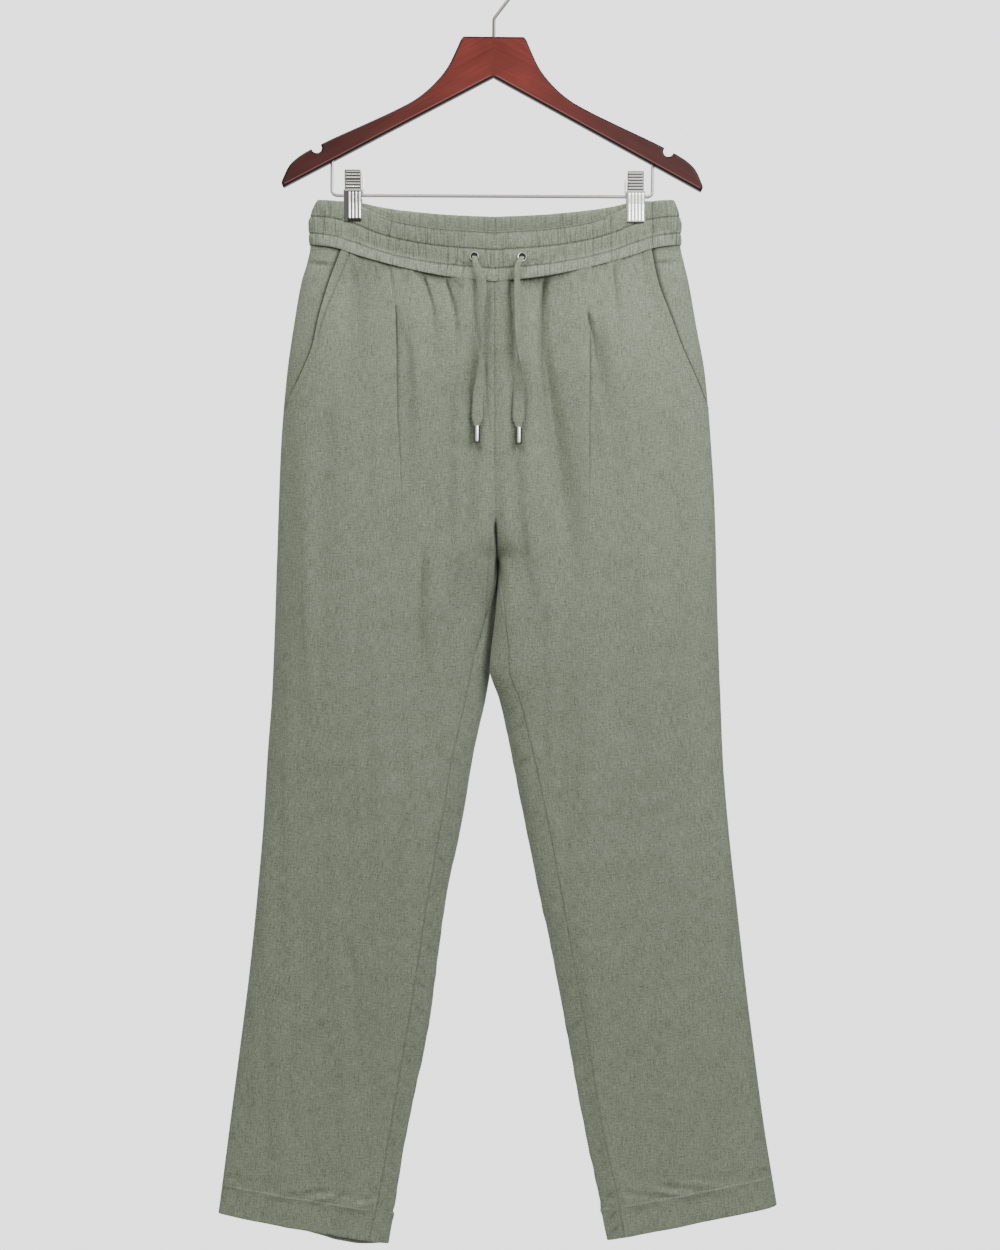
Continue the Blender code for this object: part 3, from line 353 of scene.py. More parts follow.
def trough(rows, x, z, dying=0.5, widening=0.0):
    """The depth of a table of folds at x and z: each dies out in its lowest part, and may widen."""
    depth_here = np.zeros(np.shape(x))
    for top_x, top_z, mid_x, mid_z, low_x, low_z, depth, half in rows:
        path = curve_through(z, (low_z, mid_z, top_z), (low_x, mid_x, top_x))
        run = top_z - low_z
        fade = ease((top_z + 0.12 * run - z) / (0.2 * run)) * ease((z - low_z) / (dying * run))
        wide = half * (1 + widening * (np.clip((top_z - z) / run, 0, 1) - 0.35))
        depth_here += depth * fade * np.exp(-(((x - path) / wide) ** 2))
    return depth_here


def cloth_point(side, face, w, level, inset=0.0, folded=0.0):
    """A point of the trousers' outer form, or of the nested form that lies inset within it."""
    sign = -1 if side == "left" else 1
    top = CROTCH_FRONT if face == "front" else CROTCH_BACK
    toward_fork = float(np.clip((top - level) / (top - FORK), 0.0, 1.0))
    closed = toward_fork**3
    across, share = section(closed, crest_at(level), w)
    z = level - fall(side, face, level, across)
    edge = level - float(fall(side, face, level, 1.0))
    start = float(outer_x(side, level)) - sign * inset
    end = float(inner_x(side, edge)) + sign * inset * closed
    if face == "back":
        end += BACK_SEAM_X * (1 - closed)
    x = start + (end - start) * across
    depth = float(curve_through(level, LEVEL, FRONT_DEPTH if face == "front" else BACK_DEPTH)) - inset
    near_clip = CLIP_FLATTEN * np.exp(-(((np.abs(x) - CLIP_REACH) / CLIP_SPREAD) ** 2))
    y = depth * share * (1 - near_clip * (1 - ease((WAIST_SEAM - level) / CLIP_FADE)))
    if face == "front":
        y = -y + (trough(FOLDS, x, z) + folded) * ease(share * 1.6)
    lean = EDGE_LEAN[side] * ease((FORK - level) / LEAN_TOP) * ease((level - LEAN_END) / LEAN_FADE)
    return np.stack([x, y + lean * across**LEAN_POWER, z], axis=-1)


def mouth_w(side, level):
    """Where the pocket mouth crosses a row of the front."""
    if level <= POCKET_END:
        return 0.0
    if level < POCKET_CLOSE:
        return (level - POCKET_END) / (POCKET_CLOSE - POCKET_END) * mouth_w(side, POCKET_CLOSE)
    column = POCKET_MOUTH[:, 1 if side == "left" else 2]
    z = level
    for _ in range(4):
        x = float(curve_through(z, POCKET_MOUTH[:, 0], column))
        start = float(outer_x(side, level))
        across = min(max((x - start) / (float(inner_x(side, level)) - start), 0.0), 1.0)
        z = level - float(fall(side, "front", level, across))
    return along_section(1.0, across)


def seam_w(side, level):
    """Where the leg seam crosses a row of the front."""
    if level >= FORK:
        return 1.0
    z = level - float(fall(side, "front", level, 1.0))
    width = abs(float(inner_x(side, z)) - float(outer_x(side, level)))
    inset = float(curve_through(z, LEG_SEAM[:, 0], LEG_SEAM[:, 1]))
    return along_section(crest_at(level), 1 - inset / width)


def row_levels(side):
    """Close rows below the waist and above the hem, wider ones between."""
    hem = HEM_SIDE[side]
    return np.concatenate([
        np.linspace(WAIST_SEAM - 0.3, -352.0, 40)[:-1],
        np.linspace(-352.0, hem + 50.0, 240)[:-1],
        np.linspace(hem + 50.0, hem + HEM_DEPTH + 3.0, 12)[:-1],
        np.linspace(hem + HEM_DEPTH + 3.0, hem + HEM_DEPTH - 3.0, 14)[:-1],
        np.linspace(hem + HEM_DEPTH - 3.0, hem + 0.8, 16),
    ])


FRONT_COLUMNS = 238
PLEAT_COLUMN = 120


def front_columns(side, level):
    """The w of each column: the first on the pocket mouth, two on the pleat, the last on a seam."""
    start, end = mouth_w(side, level), seam_w(side, level)
    even = np.linspace(start, end, FRONT_COLUMNS + 1)
    left, right = float(outer_x(side, level)), float(inner_x(side, level))
    z = level - float(fall(side, "front", level, 0.5))
    crease = float(curve_through(z, *PLEAT_LINES[side]))
    over = PLEAT_OVERHANG * pleat_share(side, z)
    pull = 1 - ease((-570.0 - level) / 110.0)
    near, far = (over, -0.5 * over) if side == "left" else (-0.5 * over, over)
    before, after = crease + near - 0.15, crease + far + 0.15
    if side == "right":
        before, after = crease + near + 0.15, crease + far - 0.15
    pinned = {}
    for k, x in ((PLEAT_COLUMN, before), (PLEAT_COLUMN + 1, after)):
        pinned[k] = along_section(crest_at(level), (x - left) / (right - left))
    anchors = [0, 6, PLEAT_COLUMN - 6, *pinned, PLEAT_COLUMN + 7, FRONT_COLUMNS - 6, FRONT_COLUMNS]
    step = (pinned[PLEAT_COLUMN] + pinned[PLEAT_COLUMN + 1]) / 2
    values = []
    for k in anchors:
        value = even[k]
        if k in pinned:
            value = pinned[k] * pull + even[k] * (1 - pull)
        elif abs(k - PLEAT_COLUMN) < 10:
            reach = (k - PLEAT_COLUMN - 0.5) * 0.0018
            value = (step + reach) * pull + even[k] * (1 - pull)
        values.append(value)
    return np.interp(np.arange(FRONT_COLUMNS + 1), anchors, values)


def pleat_share(side, z):
    """How much of the pleat's depth is left at a height."""
    return float(curve_through(z, *PLEAT_SHARE[side]))


def under_pleat(side, w):
    """Which columns of a row lie beyond the pleat's lip."""
    column = np.arange(len(w))
    return column > PLEAT_COLUMN if side == "left" else column <= PLEAT_COLUMN


def pleat_push(side, level, w):
    """How deep the cloth lies beside the pleat's lip, column by column."""
    across, _ = section(0.0, crest_at(level), w)
    left, right = float(outer_x(side, level)), float(inner_x(side, level))
    x = left + (right - left) * across
    z = level - fall(side, "front", level, across)
    middle = level - float(fall(side, "front", level, 0.5))
    crease = curve_through(z, *PLEAT_LINES[side])
    beside = np.clip((x - crease) / curve_through(z, *PLEAT_RECOVER[side]), 0, 1)
    deep = PLEAT_DEPTH * pleat_share(side, middle) * (1 - beside) ** 1.5
    return np.where(under_pleat(side, w), deep, 0.0)


def comb(at, seed, low, high, width):
    """Narrow dips of uneven strength, low to high apart, along a coordinate in millimetres."""
    rng = np.random.default_rng(seed)
    places = np.cumsum(rng.uniform(low, high, 500))
    strength = rng.uniform(0.0, 1.0, 500) ** 1.2
    k = np.clip(np.searchsorted(places, at), 1, 498)
    dips = np.zeros(np.shape(at))
    for near in (k - 1, k):
        dips = np.maximum(dips, strength[near] * np.exp(-(((at - places[near]) / width) ** 2)))
    return dips


# Where the flat of each leg ends beside the fork, z and x.
FORK_CONTOUR = {
    "left": ((-765.0, -728.0, -700.0, -681.0, -657.0, -626.0, -611.0, -594.0),
             (-29.0, -20.5, -13.3, -9.4, -8.8, -7.7, -5.7, -3.6)),
    "right": ((-765.0, -728.0, -700.0, -681.0, -657.0, -626.0, -594.0),
              (24.0, 16.5, 12.8, 8.5, 5.0, 3.0, 2.5)),
}
FORK_ROLL = {"left": 2.6, "right": 1.2}
FORK_FILL = {"left": 5.0, "right": 0.0}
FORK_SHADE = {"left": 0.05, "right": 0.10}
# x, half width, top, foot of the pit between the legs, dipped in and painted dark as shade
FORK_PIT = (0.9, 1.7, -583.0, -650.0)
PIT_DEPTH = 4.5


def fork_relief(side, points):
    """Near the fork: how far the flat of the leg stands forward, and the shade of the strip inside."""
    x, z = points[:, 0], points[:, 2]
    inside = (x - curve_through(z, *FORK_CONTOUR[side])) * (1 if side == "left" else -1)
    forward = np.clip(-points[:, 1] / 10.0, 0, 1)
    roll = ease((-585.0 - z) / 40.0) * (1 - ease((-710.0 - z) / 80.0)) * forward
    filled = FORK_FILL[side] * roll * ease(inside / 8.0)
    roll = FORK_ROLL[side] * roll * np.exp(-((inside / np.where(inside < 0, 22.0, 9.0)) ** 2))
    strip = ease((-588.0 - z) / 20.0) * (1 - ease((-690.0 - z) / 60.0))
    # Painted shade: a dark line along the contour, the strip inside it and the pit between the legs.
    line = 0.32 * np.exp(-((inside / 0.8) ** 2))
    shade = strip * (FORK_SHADE[side] * ease((inside + 0.5) / 1.6) + line)
    pit = np.exp(-(((x - FORK_PIT[0]) / FORK_PIT[1]) ** 2)) * forward
    pit = pit * ease((FORK_PIT[2] - z) / 8.0) * ease((z - FORK_PIT[3]) / 22.0)
    return roll + filled - PIT_DEPTH * pit, shade + pit


def wrinkles(side, face, points, level, from_seam, from_side):
    """The relief of hanging linen along one row of a panel, and the shade painted into it: in its creases,
    along its seams and under the waistband.
    """
    x, z = points[:, 0], points[:, 2]
    sign = -1 if side == "left" else 1
    seed = {"left": 11, "right": 12}[side] + (0 if face == "front" else 10)
    below = WAIST_SEAM - level
    leg = float(ease((-560.0 - level) / 300.0))
    gathers = 0.5 * drift(x / 5.4 + 0.05 * below, below / 30.0, seed) * np.exp(-below / 14.0)
    gathers += 0.45 * drift(x / 9.0, below / 60.0, seed + 1) * np.exp(-below / 60.0)
    pinches = comb(x + 300.0 + 0.15 * below, seed + 30, 4.0, 15.0, 1.3) * np.exp(-below / 12.0)
    drape = 3.6 * drift(x / 32.0, z / 300.0, seed + 2) + 1.4 * drift(x / 12.0, z / 170.0, seed + 3)
    slant = 0.40 * leg * drift((x + 0.5 * z) / 30.0, (z - 0.35 * x) / 13.0, seed + 4)
    ripple = 0.16 * drift(x / 7.0, z / 9.0, seed + 5) + 0.12 * drift(x / 3.4, z / 26.0, seed + 6)
    up = level - HEM_SIDE[side]
    above = np.exp(-(((up - HEM_DEPTH - 7.0) / 9.0) ** 2))
    around = np.exp(-(((up - HEM_DEPTH) / 13.0) ** 2))
    hem = 2.2 * above * drift(x / 26.0, (z + 0.12 * sign * x) / 6.5, seed + 7)
    hem += 0.35 * around * drift(x / 7.0, z / 14.0, seed + 8)
    over = up - HEM_DEPTH - 0.3
    ridge = 1.1 * math.exp(-((over / (0.9 if over > 0 else 4.0)) ** 2))
    strip = np.exp(-(((from_seam - 9.0) / 7.0) ** 2)) * float(ease((FORK - 90.0 - level) / 120.0))
    if face == "front":
        strip = strip * 0.15
    pucker = comb(-(z + 0.75 * from_seam), seed + 40, 9.0, 26.0, 2.0) * strip
    table = FRONT_CREASES if face == "front" else BACK_CREASES
    creases = trough(table, x, z, 1.0, 1.3)
    # Each crease is also painted dark as shade: a narrow core and a broad soft part.
    sharp = table.copy()
    sharp[:, 6] = 0.42 * np.minimum(table[:, 6] / table[:, 7], 1.2) ** 1.3
    sharp[:, 7] *= 0.42
    core = trough(sharp, x, z, 1.0, 1.3)
    broad = table.copy()
    broad[:, 6] = 0.022 * table[:, 6]
    broad[:, 7] *= 1.4
    core += trough(broad, x, z, 1.0, 1.3)
    creases = creases * (1 - 0.8 * math.exp(-((below / 5.0) ** 2)))
    height = gathers + drape + slant + ripple + hem + ridge - 0.9 * pinches - 1.5 * pucker - creases
    height = height * (1 - np.exp(-((from_seam / 9.0) ** 2))) * (1 - np.exp(-((from_side / 9.0) ** 2)))
    at_fork = math.exp(-(((level + 695.0) / 70.0) ** 2)) * np.exp(-(((x + 2.0) / 16.0) ** 2))
    height = height * (1 - 0.85 * at_fork)
    seam = np.exp(-((from_seam / 1.0) ** 2))
    sewn = 0.10 + 0.24 * float(ease((CROTCH_FRONT - level) / 60.0))
    # Painted shade: in creases, pinches and puckers, along the seams, just under the waistband and near the
    # fork.
    shade = core + 0.35 * pinches + 0.5 * pucker + sewn * seam
    shade += 0.45 * math.exp(-((below / 1.1) ** 2)) + fork_relief(side, points)[1]
    return height - 0.45 * seam, shade


# How far down the line pressed beside each pocket mouth shows.
MOUTH_LINE_FOOT = {"left": -396.0, "right": -312.0}


def front_skin(side):
    """The front's rows of points, outward directions and crease shades."""
    rows, out_rows, shades = [], [], []
    for level in row_levels(side):
        w = front_columns(side, level)
        folded = pleat_push(side, level, w)
        points = cloth_point(side, "front", w, level, 0.0, folded)
        under = cloth_point(side, "front", w, level, 1.0, folded)
        outward = unit(points - under)
        from_seam, from_side = run_along(points[::-1])[::-1], run_along(points)
        height, shade = wrinkles(side, "front", points, level, from_seam, from_side)
        if level > POCKET_END:
            line_at = 3.0 + 5.5 * float(ease((level + 400.0) / 90.0))
            fade = float(ease((level - MOUTH_LINE_FOOT[side]) / 12.0))
            line = np.exp(-(((from_side - line_at) / 0.8) ** 2)) * fade
            height = height - 0.6 * line + 0.7 * np.exp(-((from_side / 3.0) ** 2))
            # The pressed line is painted dark as shade in its groove.
            shade = shade + 0.55 * line
        # Painted shadow beside the pleat's lip, on the cloth that lies under it.
        crease = curve_through(points[:, 2], *PLEAT_LINES[side])
        beside = np.clip(points[:, 0] - crease, 0, None)
        middle = level - float(fall(side, "front", level, 0.5))
        edge = 0.6 * np.exp(-((beside / 1.1) ** 2)) + 0.13 * np.exp(-beside / 9.0)
        shade = shade + np.where(under_pleat(side, w), pleat_share(side, middle) * edge, 0.0)
        points[:, 1] -= fork_relief(side, points)[0]
        rows.append(points + outward * height[:, None])
        out_rows.append(outward)
        shades.append(shade)
    return np.array(rows), np.array(out_rows), np.array(shades)


# row, lift, how deep inside: the turned-up hem
HEM_TURN = ((-1, -0.6, 0.4), (-1, -0.6, 1.2), (-2, 0.0, 1.9), (-8, 0.0, 1.9), (-22, 0.0, 1.9))


def turn_edges(skin, outward, shade, hem=True, first=False, last=True):
    """Adds the cloth's folded edges: the top tucked under, the hem turned up inside, rolled sides."""
    rows, out, dark = [*skin], [*outward], [*shade]
    if hem:
        for row, lift, deep in HEM_TURN:
            rows.append(skin[row] + np.array([0, 0, lift]) - outward[row] * deep)
            out.append(outward[row])
            # The hem's turned-up inside rows are painted dark as shade.
            dark.append(np.full(len(shade[-1]), 0.45 if row < -1 else 0.0))
    rows.insert(0, skin[0] - outward[0] * 2.0 + np.array([0, 0, 2.5]))
    out.insert(0, outward[0])
    dark.insert(0, shade[0])
    rows, out, dark = np.array(rows), np.array(out), np.array(dark)
    if first:
        along = unit(rows[:, 3] - rows[:, 0])
        extra = [rows[:, 0] - out[:, 0] * 1.5 + along * 1.6, rows[:, 0] - out[:, 0] * 1.2 - along * 0.1,
                 rows[:, 0] - out[:, 0] * 0.4 - along * 0.4]
        rows = np.concatenate([np.stack(extra, axis=1), rows], axis=1)
        out = np.concatenate([np.repeat(out[:, :1], 3, axis=1), out], axis=1)
        # The rolled edge at the pocket mouth is painted darker, as shade in the gap.
        dark = np.concatenate([np.repeat(dark[:, :1] + 0.5, 3, axis=1), dark], axis=1)
    if last:
        along = rows[:, -1] - rows[:, -4]
        along /= np.linalg.norm(along, axis=1)[:, None] + 1e-9
        extra = [rows[:, -1] - out[:, -1] * 0.8 + along * 0.5, rows[:, -1] - out[:, -1] * 2.2 + along * 1.2]
        rows = np.concatenate([rows, np.stack(extra, axis=1)], axis=1)
        out = np.concatenate([out, np.repeat(out[:, -1:], 2, axis=1)], axis=1)
        dark = np.concatenate([dark, np.repeat(dark[:, -1:], 2, axis=1)], axis=1)
    return rows, out, dark


GRAIN_X, GRAIN_DRIFT, GRAIN_SLOPE = 110.0, 86.0, 0.116


def grain(side, points):
    """Thread coordinates in millimetres: the warp hangs plumb at the hips and runs along each leg."""
    sign = -1 if side == "left" else 1
    x, z = points[..., 0], points[..., 2]
    in_leg = ease((-560.0 - z) / 740.0)
    axis = sign * (GRAIN_X + GRAIN_DRIFT * in_leg)
    step = np.hypot(np.diff(x, axis=1), np.diff(points[..., 1], axis=1))
    run = np.concatenate([np.zeros((len(points), 1)), np.cumsum(step, axis=1)], axis=1)
    nearest = np.argmin(np.abs(x - axis), axis=1)
    row = np.arange(len(points))
    u = run - (run[row, nearest] + sign * (x - axis)[row, nearest])[:, None]
    v = -(z - sign * GRAIN_SLOPE * ease((-560.0 - z) / 300.0) * (x - axis))
    return u, v


def weave_of(points):
    """Thread coordinates in millimetres for a band or tape: along the weft and down the warp."""
    across = np.linalg.norm(np.diff(points, axis=1), axis=2)
    u = np.concatenate([np.zeros((len(points), 1)), np.cumsum(across, axis=1)], axis=1)
    middle = points.shape[1] // 2
    u -= u[:, middle:middle + 1]
    v = run_along(points[:, middle])[:, None] * np.ones(points.shape[1])
    return u, v


def piece_of(name, points, faces, finish, sharp=None):
    """A smooth piece from points in millimetres, creased past an angle in degrees if one is given."""
    mesh = bpy.data.meshes.new(name)
    mesh.from_pydata((np.asarray(points) * MM).tolist(), [], faces)
    mesh.shade_smooth()
    if sharp:
        mesh.set_sharp_from_angle(angle=math.radians(sharp))
    mesh.materials.append(finish)
    made = bpy.data.objects.new(name, mesh)
    bpy.context.scene.collection.objects.link(made)
    return made


def painted(made, name, values, kind="value"):
    """Lays one value or one vector on each point of a piece, for its finish to read."""
    data_type = "FLOAT" if kind == "value" else "FLOAT_VECTOR"
    layer = made.data.attributes.new(name, data_type, "POINT")
    layer.data.foreach_set(kind, np.asarray(values).astype(np.float32).ravel())


def sheet_of(name, points, outward, finish, shade, threads_at=None, ring=False):
    """A sheet of cloth from rows of points in millimetres, its faces turned outwards."""
    count, wide = points.shape[:2]
    index = np.arange(count * wide).reshape(count, wide)
    if ring:
        index = np.concatenate([index, index[:, :1]], axis=1)
    quads = np.stack([index[:-1, :-1], index[1:, :-1], index[1:, 1:], index[:-1, 1:]], axis=-1)
    quads = quads.reshape(-1, 4)
    flat = points.reshape(-1, 3)
    sample = quads[len(quads) // 2]
    turned = np.cross(flat[sample[1]] - flat[sample[0]], flat[sample[3]] - flat[sample[0]])
    if turned @ outward.reshape(-1, 3)[sample[0]] < 0:
        quads = quads[:, ::-1]
    made = piece_of(name, flat, quads.tolist(), finish)
    u, v = threads_at or weave_of(points)
    painted(made, "weave", np.stack([u, v, np.zeros_like(u)], axis=-1), "vector")
    # The painted shade goes on as the 'crease' values.
    painted(made, "crease", np.clip(shade, 0, 1))
    return made


def link(tree, out_socket, in_socket):
    tree.links.new(out_socket, in_socket)


def node(tree, kind, **settings):
    """A new node with its inputs or its own settings filled in by name."""
    made = tree.nodes.new(kind)
    for name, value in settings.items():
        if name in made.inputs:
            made.inputs[name].default_value = value
        else:
            setattr(made, name, value)
    return made


def finish_of(name, colour, roughness, metallic=0.0):
    """A new Principled finish; returns the material, its tree and its shader."""
    made = bpy.data.materials.new(name)
    made.use_nodes = True
    tree = made.node_tree
    shader = tree.nodes["Principled BSDF"]
    shader.inputs["Base Color"].default_value = (*colour, 1)
    shader.inputs["Roughness"].default_value = roughness
    shader.inputs["Metallic"].default_value = metallic
    return made, tree, shader


def threads(tree, coordinates, across, down, detail, seed):
    """Noise stretched to a thread's size: across and down are its length in millimetres each way."""
    place = node(tree, "ShaderNodeMapping")
    place.inputs["Scale"].default_value = (1 / across, 1 / down, 1)
    place.inputs["Location"].default_value = (seed * 7.3, seed * 3.1, seed)
    link(tree, coordinates, place.inputs["Vector"])
    noise = node(tree, "ShaderNodeTexNoise", Scale=1.0, Detail=detail, Roughness=0.6)
    link(tree, place.outputs["Vector"], noise.inputs["Vector"])
    return noise.outputs["Fac"]


def blended(tree, operation, first, second):
    """A sum or product of two sockets or numbers."""
    made = node(tree, "ShaderNodeMath", operation=operation)
    for socket, value in zip(made.inputs, (first, second)):
        if isinstance(value, (int, float)):
            socket.default_value = value
        else:
            link(tree, value, socket)
    return made.outputs[0]


def weighed(tree, *parts):
    """The sum of (socket, weight) parts."""
    total = None
    for socket, weight in parts:
        part = blended(tree, "MULTIPLY", socket, weight)
        total = part if total is None else blended(tree, "ADD", total, part)
    return total


def coloured(tree, share, first, second, blend_type="MIX"):
    """Two colours mixed by a share; each of the three is a socket or a fixed value."""
    mix = node(tree, "ShaderNodeMix", data_type="RGBA", blend_type=blend_type)
    for name, value in (("Factor", share), ("A", first), ("B", second)):
        if isinstance(value, tuple):
            mix.inputs[name].default_value = value
        else:
            link(tree, value, mix.inputs[name])
    return mix.outputs["Result"]


def raised(tree, shader, height, strength, distance):
    """Gives a finish relief from a height."""
    bump = node(tree, "ShaderNodeBump", Strength=strength, Distance=distance)
    link(tree, height, bump.inputs["Height"])
    link(tree, bump.outputs["Normal"], shader.inputs["Normal"])


LINEN_DARK, LINEN_LIGHT = (0.112, 0.128, 0.088), (0.292, 0.328, 0.246)
# The near-black that painted shade darkens the linen towards.
LINEN_PAINTED_SHADE = (0.030, 0.033, 0.024, 1)


def linen(name):
    """Sage linen: heathered warp and weft slubs, a fine plain weave in relief, and shade painted into its
    creases, seams and gaps from its 'crease' values.
    """
    made, tree, shader = finish_of(name, LINEN_LIGHT, 0.86)
    coordinates = node(tree, "ShaderNodeAttribute", attribute_name="weave").outputs["Vector"]
    warp = threads(tree, coordinates, 0.95, 13.0, 2.0, 1)
    weft = threads(tree, coordinates, 9.0, 0.95, 2.0, 2)
    fleck = threads(tree, coordinates, 1.5, 1.8, 3.0, 3)
    cloud = threads(tree, coordinates, 22.0, 34.0, 2.0, 4)
    mixed = weighed(tree, (warp, 0.30), (weft, 0.24), (fleck, 0.40), (cloud, 0.06))
    ramp = node(tree, "ShaderNodeValToRGB")
    dark, light = ramp.color_ramp.elements
    dark.position, light.position = 0.39, 0.61
    dark.color, light.color = (*LINEN_DARK, 1), (*LINEN_LIGHT, 1)
    link(tree, mixed, ramp.inputs["Fac"])
    # Painted shade: the 'crease' values darken the colour in creases, seams, gaps and under edges.
    painted_shade = node(tree, "ShaderNodeAttribute", attribute_name="crease").outputs["Fac"]
    colour = coloured(tree, blended(tree, "MULTIPLY", painted_shade, 0.8), ramp.outputs["Color"], LINEN_PAINTED_SHADE)
    link(tree, colour, shader.inputs["Base Color"])
    heights = []
    for direction in ("X", "Y"):
        wave = node(tree, "ShaderNodeTexWave", wave_type="BANDS", bands_direction=direction,
                    wave_profile="SIN", Scale=0.42, Distortion=0.6, Detail=1.0)
        link(tree, coordinates, wave.inputs["Vector"])
        heights.append(wave.outputs["Fac"])
    relief = weighed(tree, (blended(tree, "MULTIPLY", *heights), 0.5), (mixed, 1.6))
    raised(tree, shader, relief, 0.6, 0.0004)
    shader.inputs["Specular IOR Level"].default_value = 0.2
    shader.inputs["Sheen Weight"].default_value = 0.1
    shader.inputs["Sheen Roughness"].default_value = 0.6
    return made


SAGE = linen("sage linen")
SIDES = ("left", "right")
front = {}
front_rows = {}
for side in SIDES:
    skin, outward, shade = front_skin(side)
    front_rows[side] = (skin, outward)
    points, turned, shade = turn_edges(skin, outward, shade, first=True)
    front[side] = sheet_of(f"linen_front_{side}", points, turned, SAGE, shade, grain(side, points))
    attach(front[side], ROOT)
    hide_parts(f"front_{side}")


# ---------------------------------------------------------------- back panels
# Two plain panels of the same linen, joined by a centre seam. Each comes round the leg's inner edge
# to meet the front at the leg seam, with the hem turned up all round.
BACK_COLUMNS = 190
BACK_WRAP = 44
BACK_TURN = 0.97


def back_skin(side):
    """The back's rows: behind the leg, then round its inner edge to the leg seam."""
    rows, out_rows, shades = [], [], []
    for level in row_levels(side):
        face, turn = ("back", BACK_TURN) if level >= FORK else ("front", 1.0)
        behind = np.linspace(0, turn, BACK_COLUMNS - BACK_WRAP + 1)
        wrapped = np.linspace(turn, seam_w(side, level), BACK_WRAP + 1)[1:]
        skins = []
        for inset in (0.0, 1.0):
            skins.append(np.concatenate([
                cloth_point(side, "back", behind, level, inset),
                cloth_point(side, face, wrapped, level, inset),
            ]))
        points = skins[0]
        outward = skins[0] - skins[1]
        outward /= np.linalg.norm(outward, axis=1)[:, None] + 1e-9
        from_seam, from_side = run_along(points[::-1])[::-1], run_along(points)
        height, shade = wrinkles(side, "back", points, level, from_seam, from_side)
        points[:, 1] -= fork_relief(side, points)[0]
        rows.append(points + outward * height[:, None])
        out_rows.append(outward)
        shades.append(shade)
    return np.array(rows), np.array(out_rows), np.array(shades)


back = {}
back_rows = {}
for side in SIDES:
    skin, outward, shade = back_skin(side)
    back_rows[side] = (skin, outward)
    points, turned, shade = turn_edges(skin, outward, shade)
    back[side] = sheet_of(f"linen_back_{side}", points, turned, SAGE, shade, grain(side, points))
    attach(back[side], ROOT)
    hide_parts(f"back_{side}")


# ---------------------------------------------------------------- pocket facings
# The side pieces behind the slanted pocket mouths, of the same linen. They join the back at the side
# seam and run under the front's folded edge.
FACING_COLUMNS = 40
FACING_DIP = 3.2
FACING_SEED = {"left": 41, "right": 42}
FACING_TUCK = {"left": (-185.0, -314.0), "right": (181.0, -312.5)}
# How wide the shadow painted in each pocket mouth spreads, and how much of it lies hidden under the front's
# edge.
MOUTH_SHADOW_SPREAD = {"left": 1.8, "right": 2.4}
MOUTH_SHADOW_HIDDEN = {"left": 1.15, "right": 1.45}
facing = {}
for side in SIDES:
    rows, out_rows, shades = [], [], []
    levels = np.linspace(WAIST_SEAM - 0.3, POCKET_END + 0.2, 100)
    for level in levels:
        mouth = mouth_w(side, level)
        columns = np.append(np.linspace(0, mouth, FACING_COLUMNS), mouth + 0.03)
        dip = FACING_DIP * np.append(ease(np.linspace(0, 1, FACING_COLUMNS)), 1.2)
        points = cloth_point(side, "front", columns, level, 0.0)
        under = cloth_point(side, "front", columns, level, 1.0)
        outward = unit(points - under)
        x, z = points[:, 0], points[:, 2]
        below = WAIST_SEAM - level
        seed = FACING_SEED[side]
        height = 0.5 * drift(x / 5.0, below / 20.0, seed) * np.exp(-below / 16.0)
        height += 0.5 * drift(x / 26.0, z / 60.0, seed + 2) + 0.12 * drift(x / 5.0, z / 12.0, seed + 3)
        fold_x, fold_z = FACING_TUCK[side]
        bend = fold_z - 0.12 * (x - fold_x) * (1 if side == "left" else -1)
        tuck = np.exp(-(((z - bend) / 2.0) ** 2)) * np.exp(-(((x - fold_x) / 10.0) ** 2))
        from_side = run_along(points)
        height = (height - 2.6 * tuck) * (1 - np.exp(-((from_side / 6.0) ** 2)))
        # Painted shadow in the mouth where the facing runs under the front's edge, and painted shade in the
        # tuck and just under the waist seam.
        to_mouth = from_side[-2] - from_side
        hidden = 0.8 + MOUTH_SHADOW_HIDDEN[side] * FACING_DIP * abs(outward[-2, 0])
        wide = 1.2 + 0.8 * MOUTH_SHADOW_SPREAD[side] * float(ease((level + 420.0) / 110.0))
        shade = np.exp(-((np.clip(to_mouth - hidden, 0, None) / wide) ** 2)) + 0.6 * tuck
        shade += 0.45 * math.exp(-((below / 1.1) ** 2))
        rows.append(points + outward * (height - dip)[:, None])
        out_rows.append(outward)
        shades.append(shade)
    points, turned, shade = turn_edges(np.array(rows), np.array(out_rows), np.array(shades),
                                       hem=False, last=False)
    facing[side] = sheet_of(f"linen_pocket_facing_{side}", points, turned, SAGE, shade, grain(side, points))
    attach(facing[side], ROOT)
    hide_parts(f"pocket_facing_{side}")


# ---------------------------------------------------------------- waistband
# A tube of the same linen round a wide elastic. Two stitch rows run all round it, so it puffs out in
# three gathered rows; the elastic draws the cloth into fine uneven gathers outside and inside.
BAND_WALL, BAND_PROUD = 2.6, 0.7
BAND_BULGE = {"front": 23.7, "back": 10.7}
BAND_PINCH, PINCH_INNER, PINCH_OUTER, BAND_END_LOOP, SPREAD_FROM = 2.3, 139.0, 159.0, 3.7, 0.62
STITCH_ROWS = (0.353, 0.725)
BAND_FRONT, BAND_BACK = 1000, 460
CLIP_X = {"left": -149.2, "right": 148.6}
EYELETS = {"left": (-21.1, -307.9), "right": (28.9, -308.5)}
EYELET_DOWN = 0.48
BAND_HIGH = 47.3
# How far each gathered row puffs and how much shade is painted in its creases; how deep each stitch row is
# and how much shade is painted in it.
ROW_PUFF, ROW_SHADE = (0.85, 0.85, 0.7), (0.82, 0.82, 1.0)
STITCH_DEEP, STITCH_SHADE = (0.45, 0.4), (0.75, 1.0)


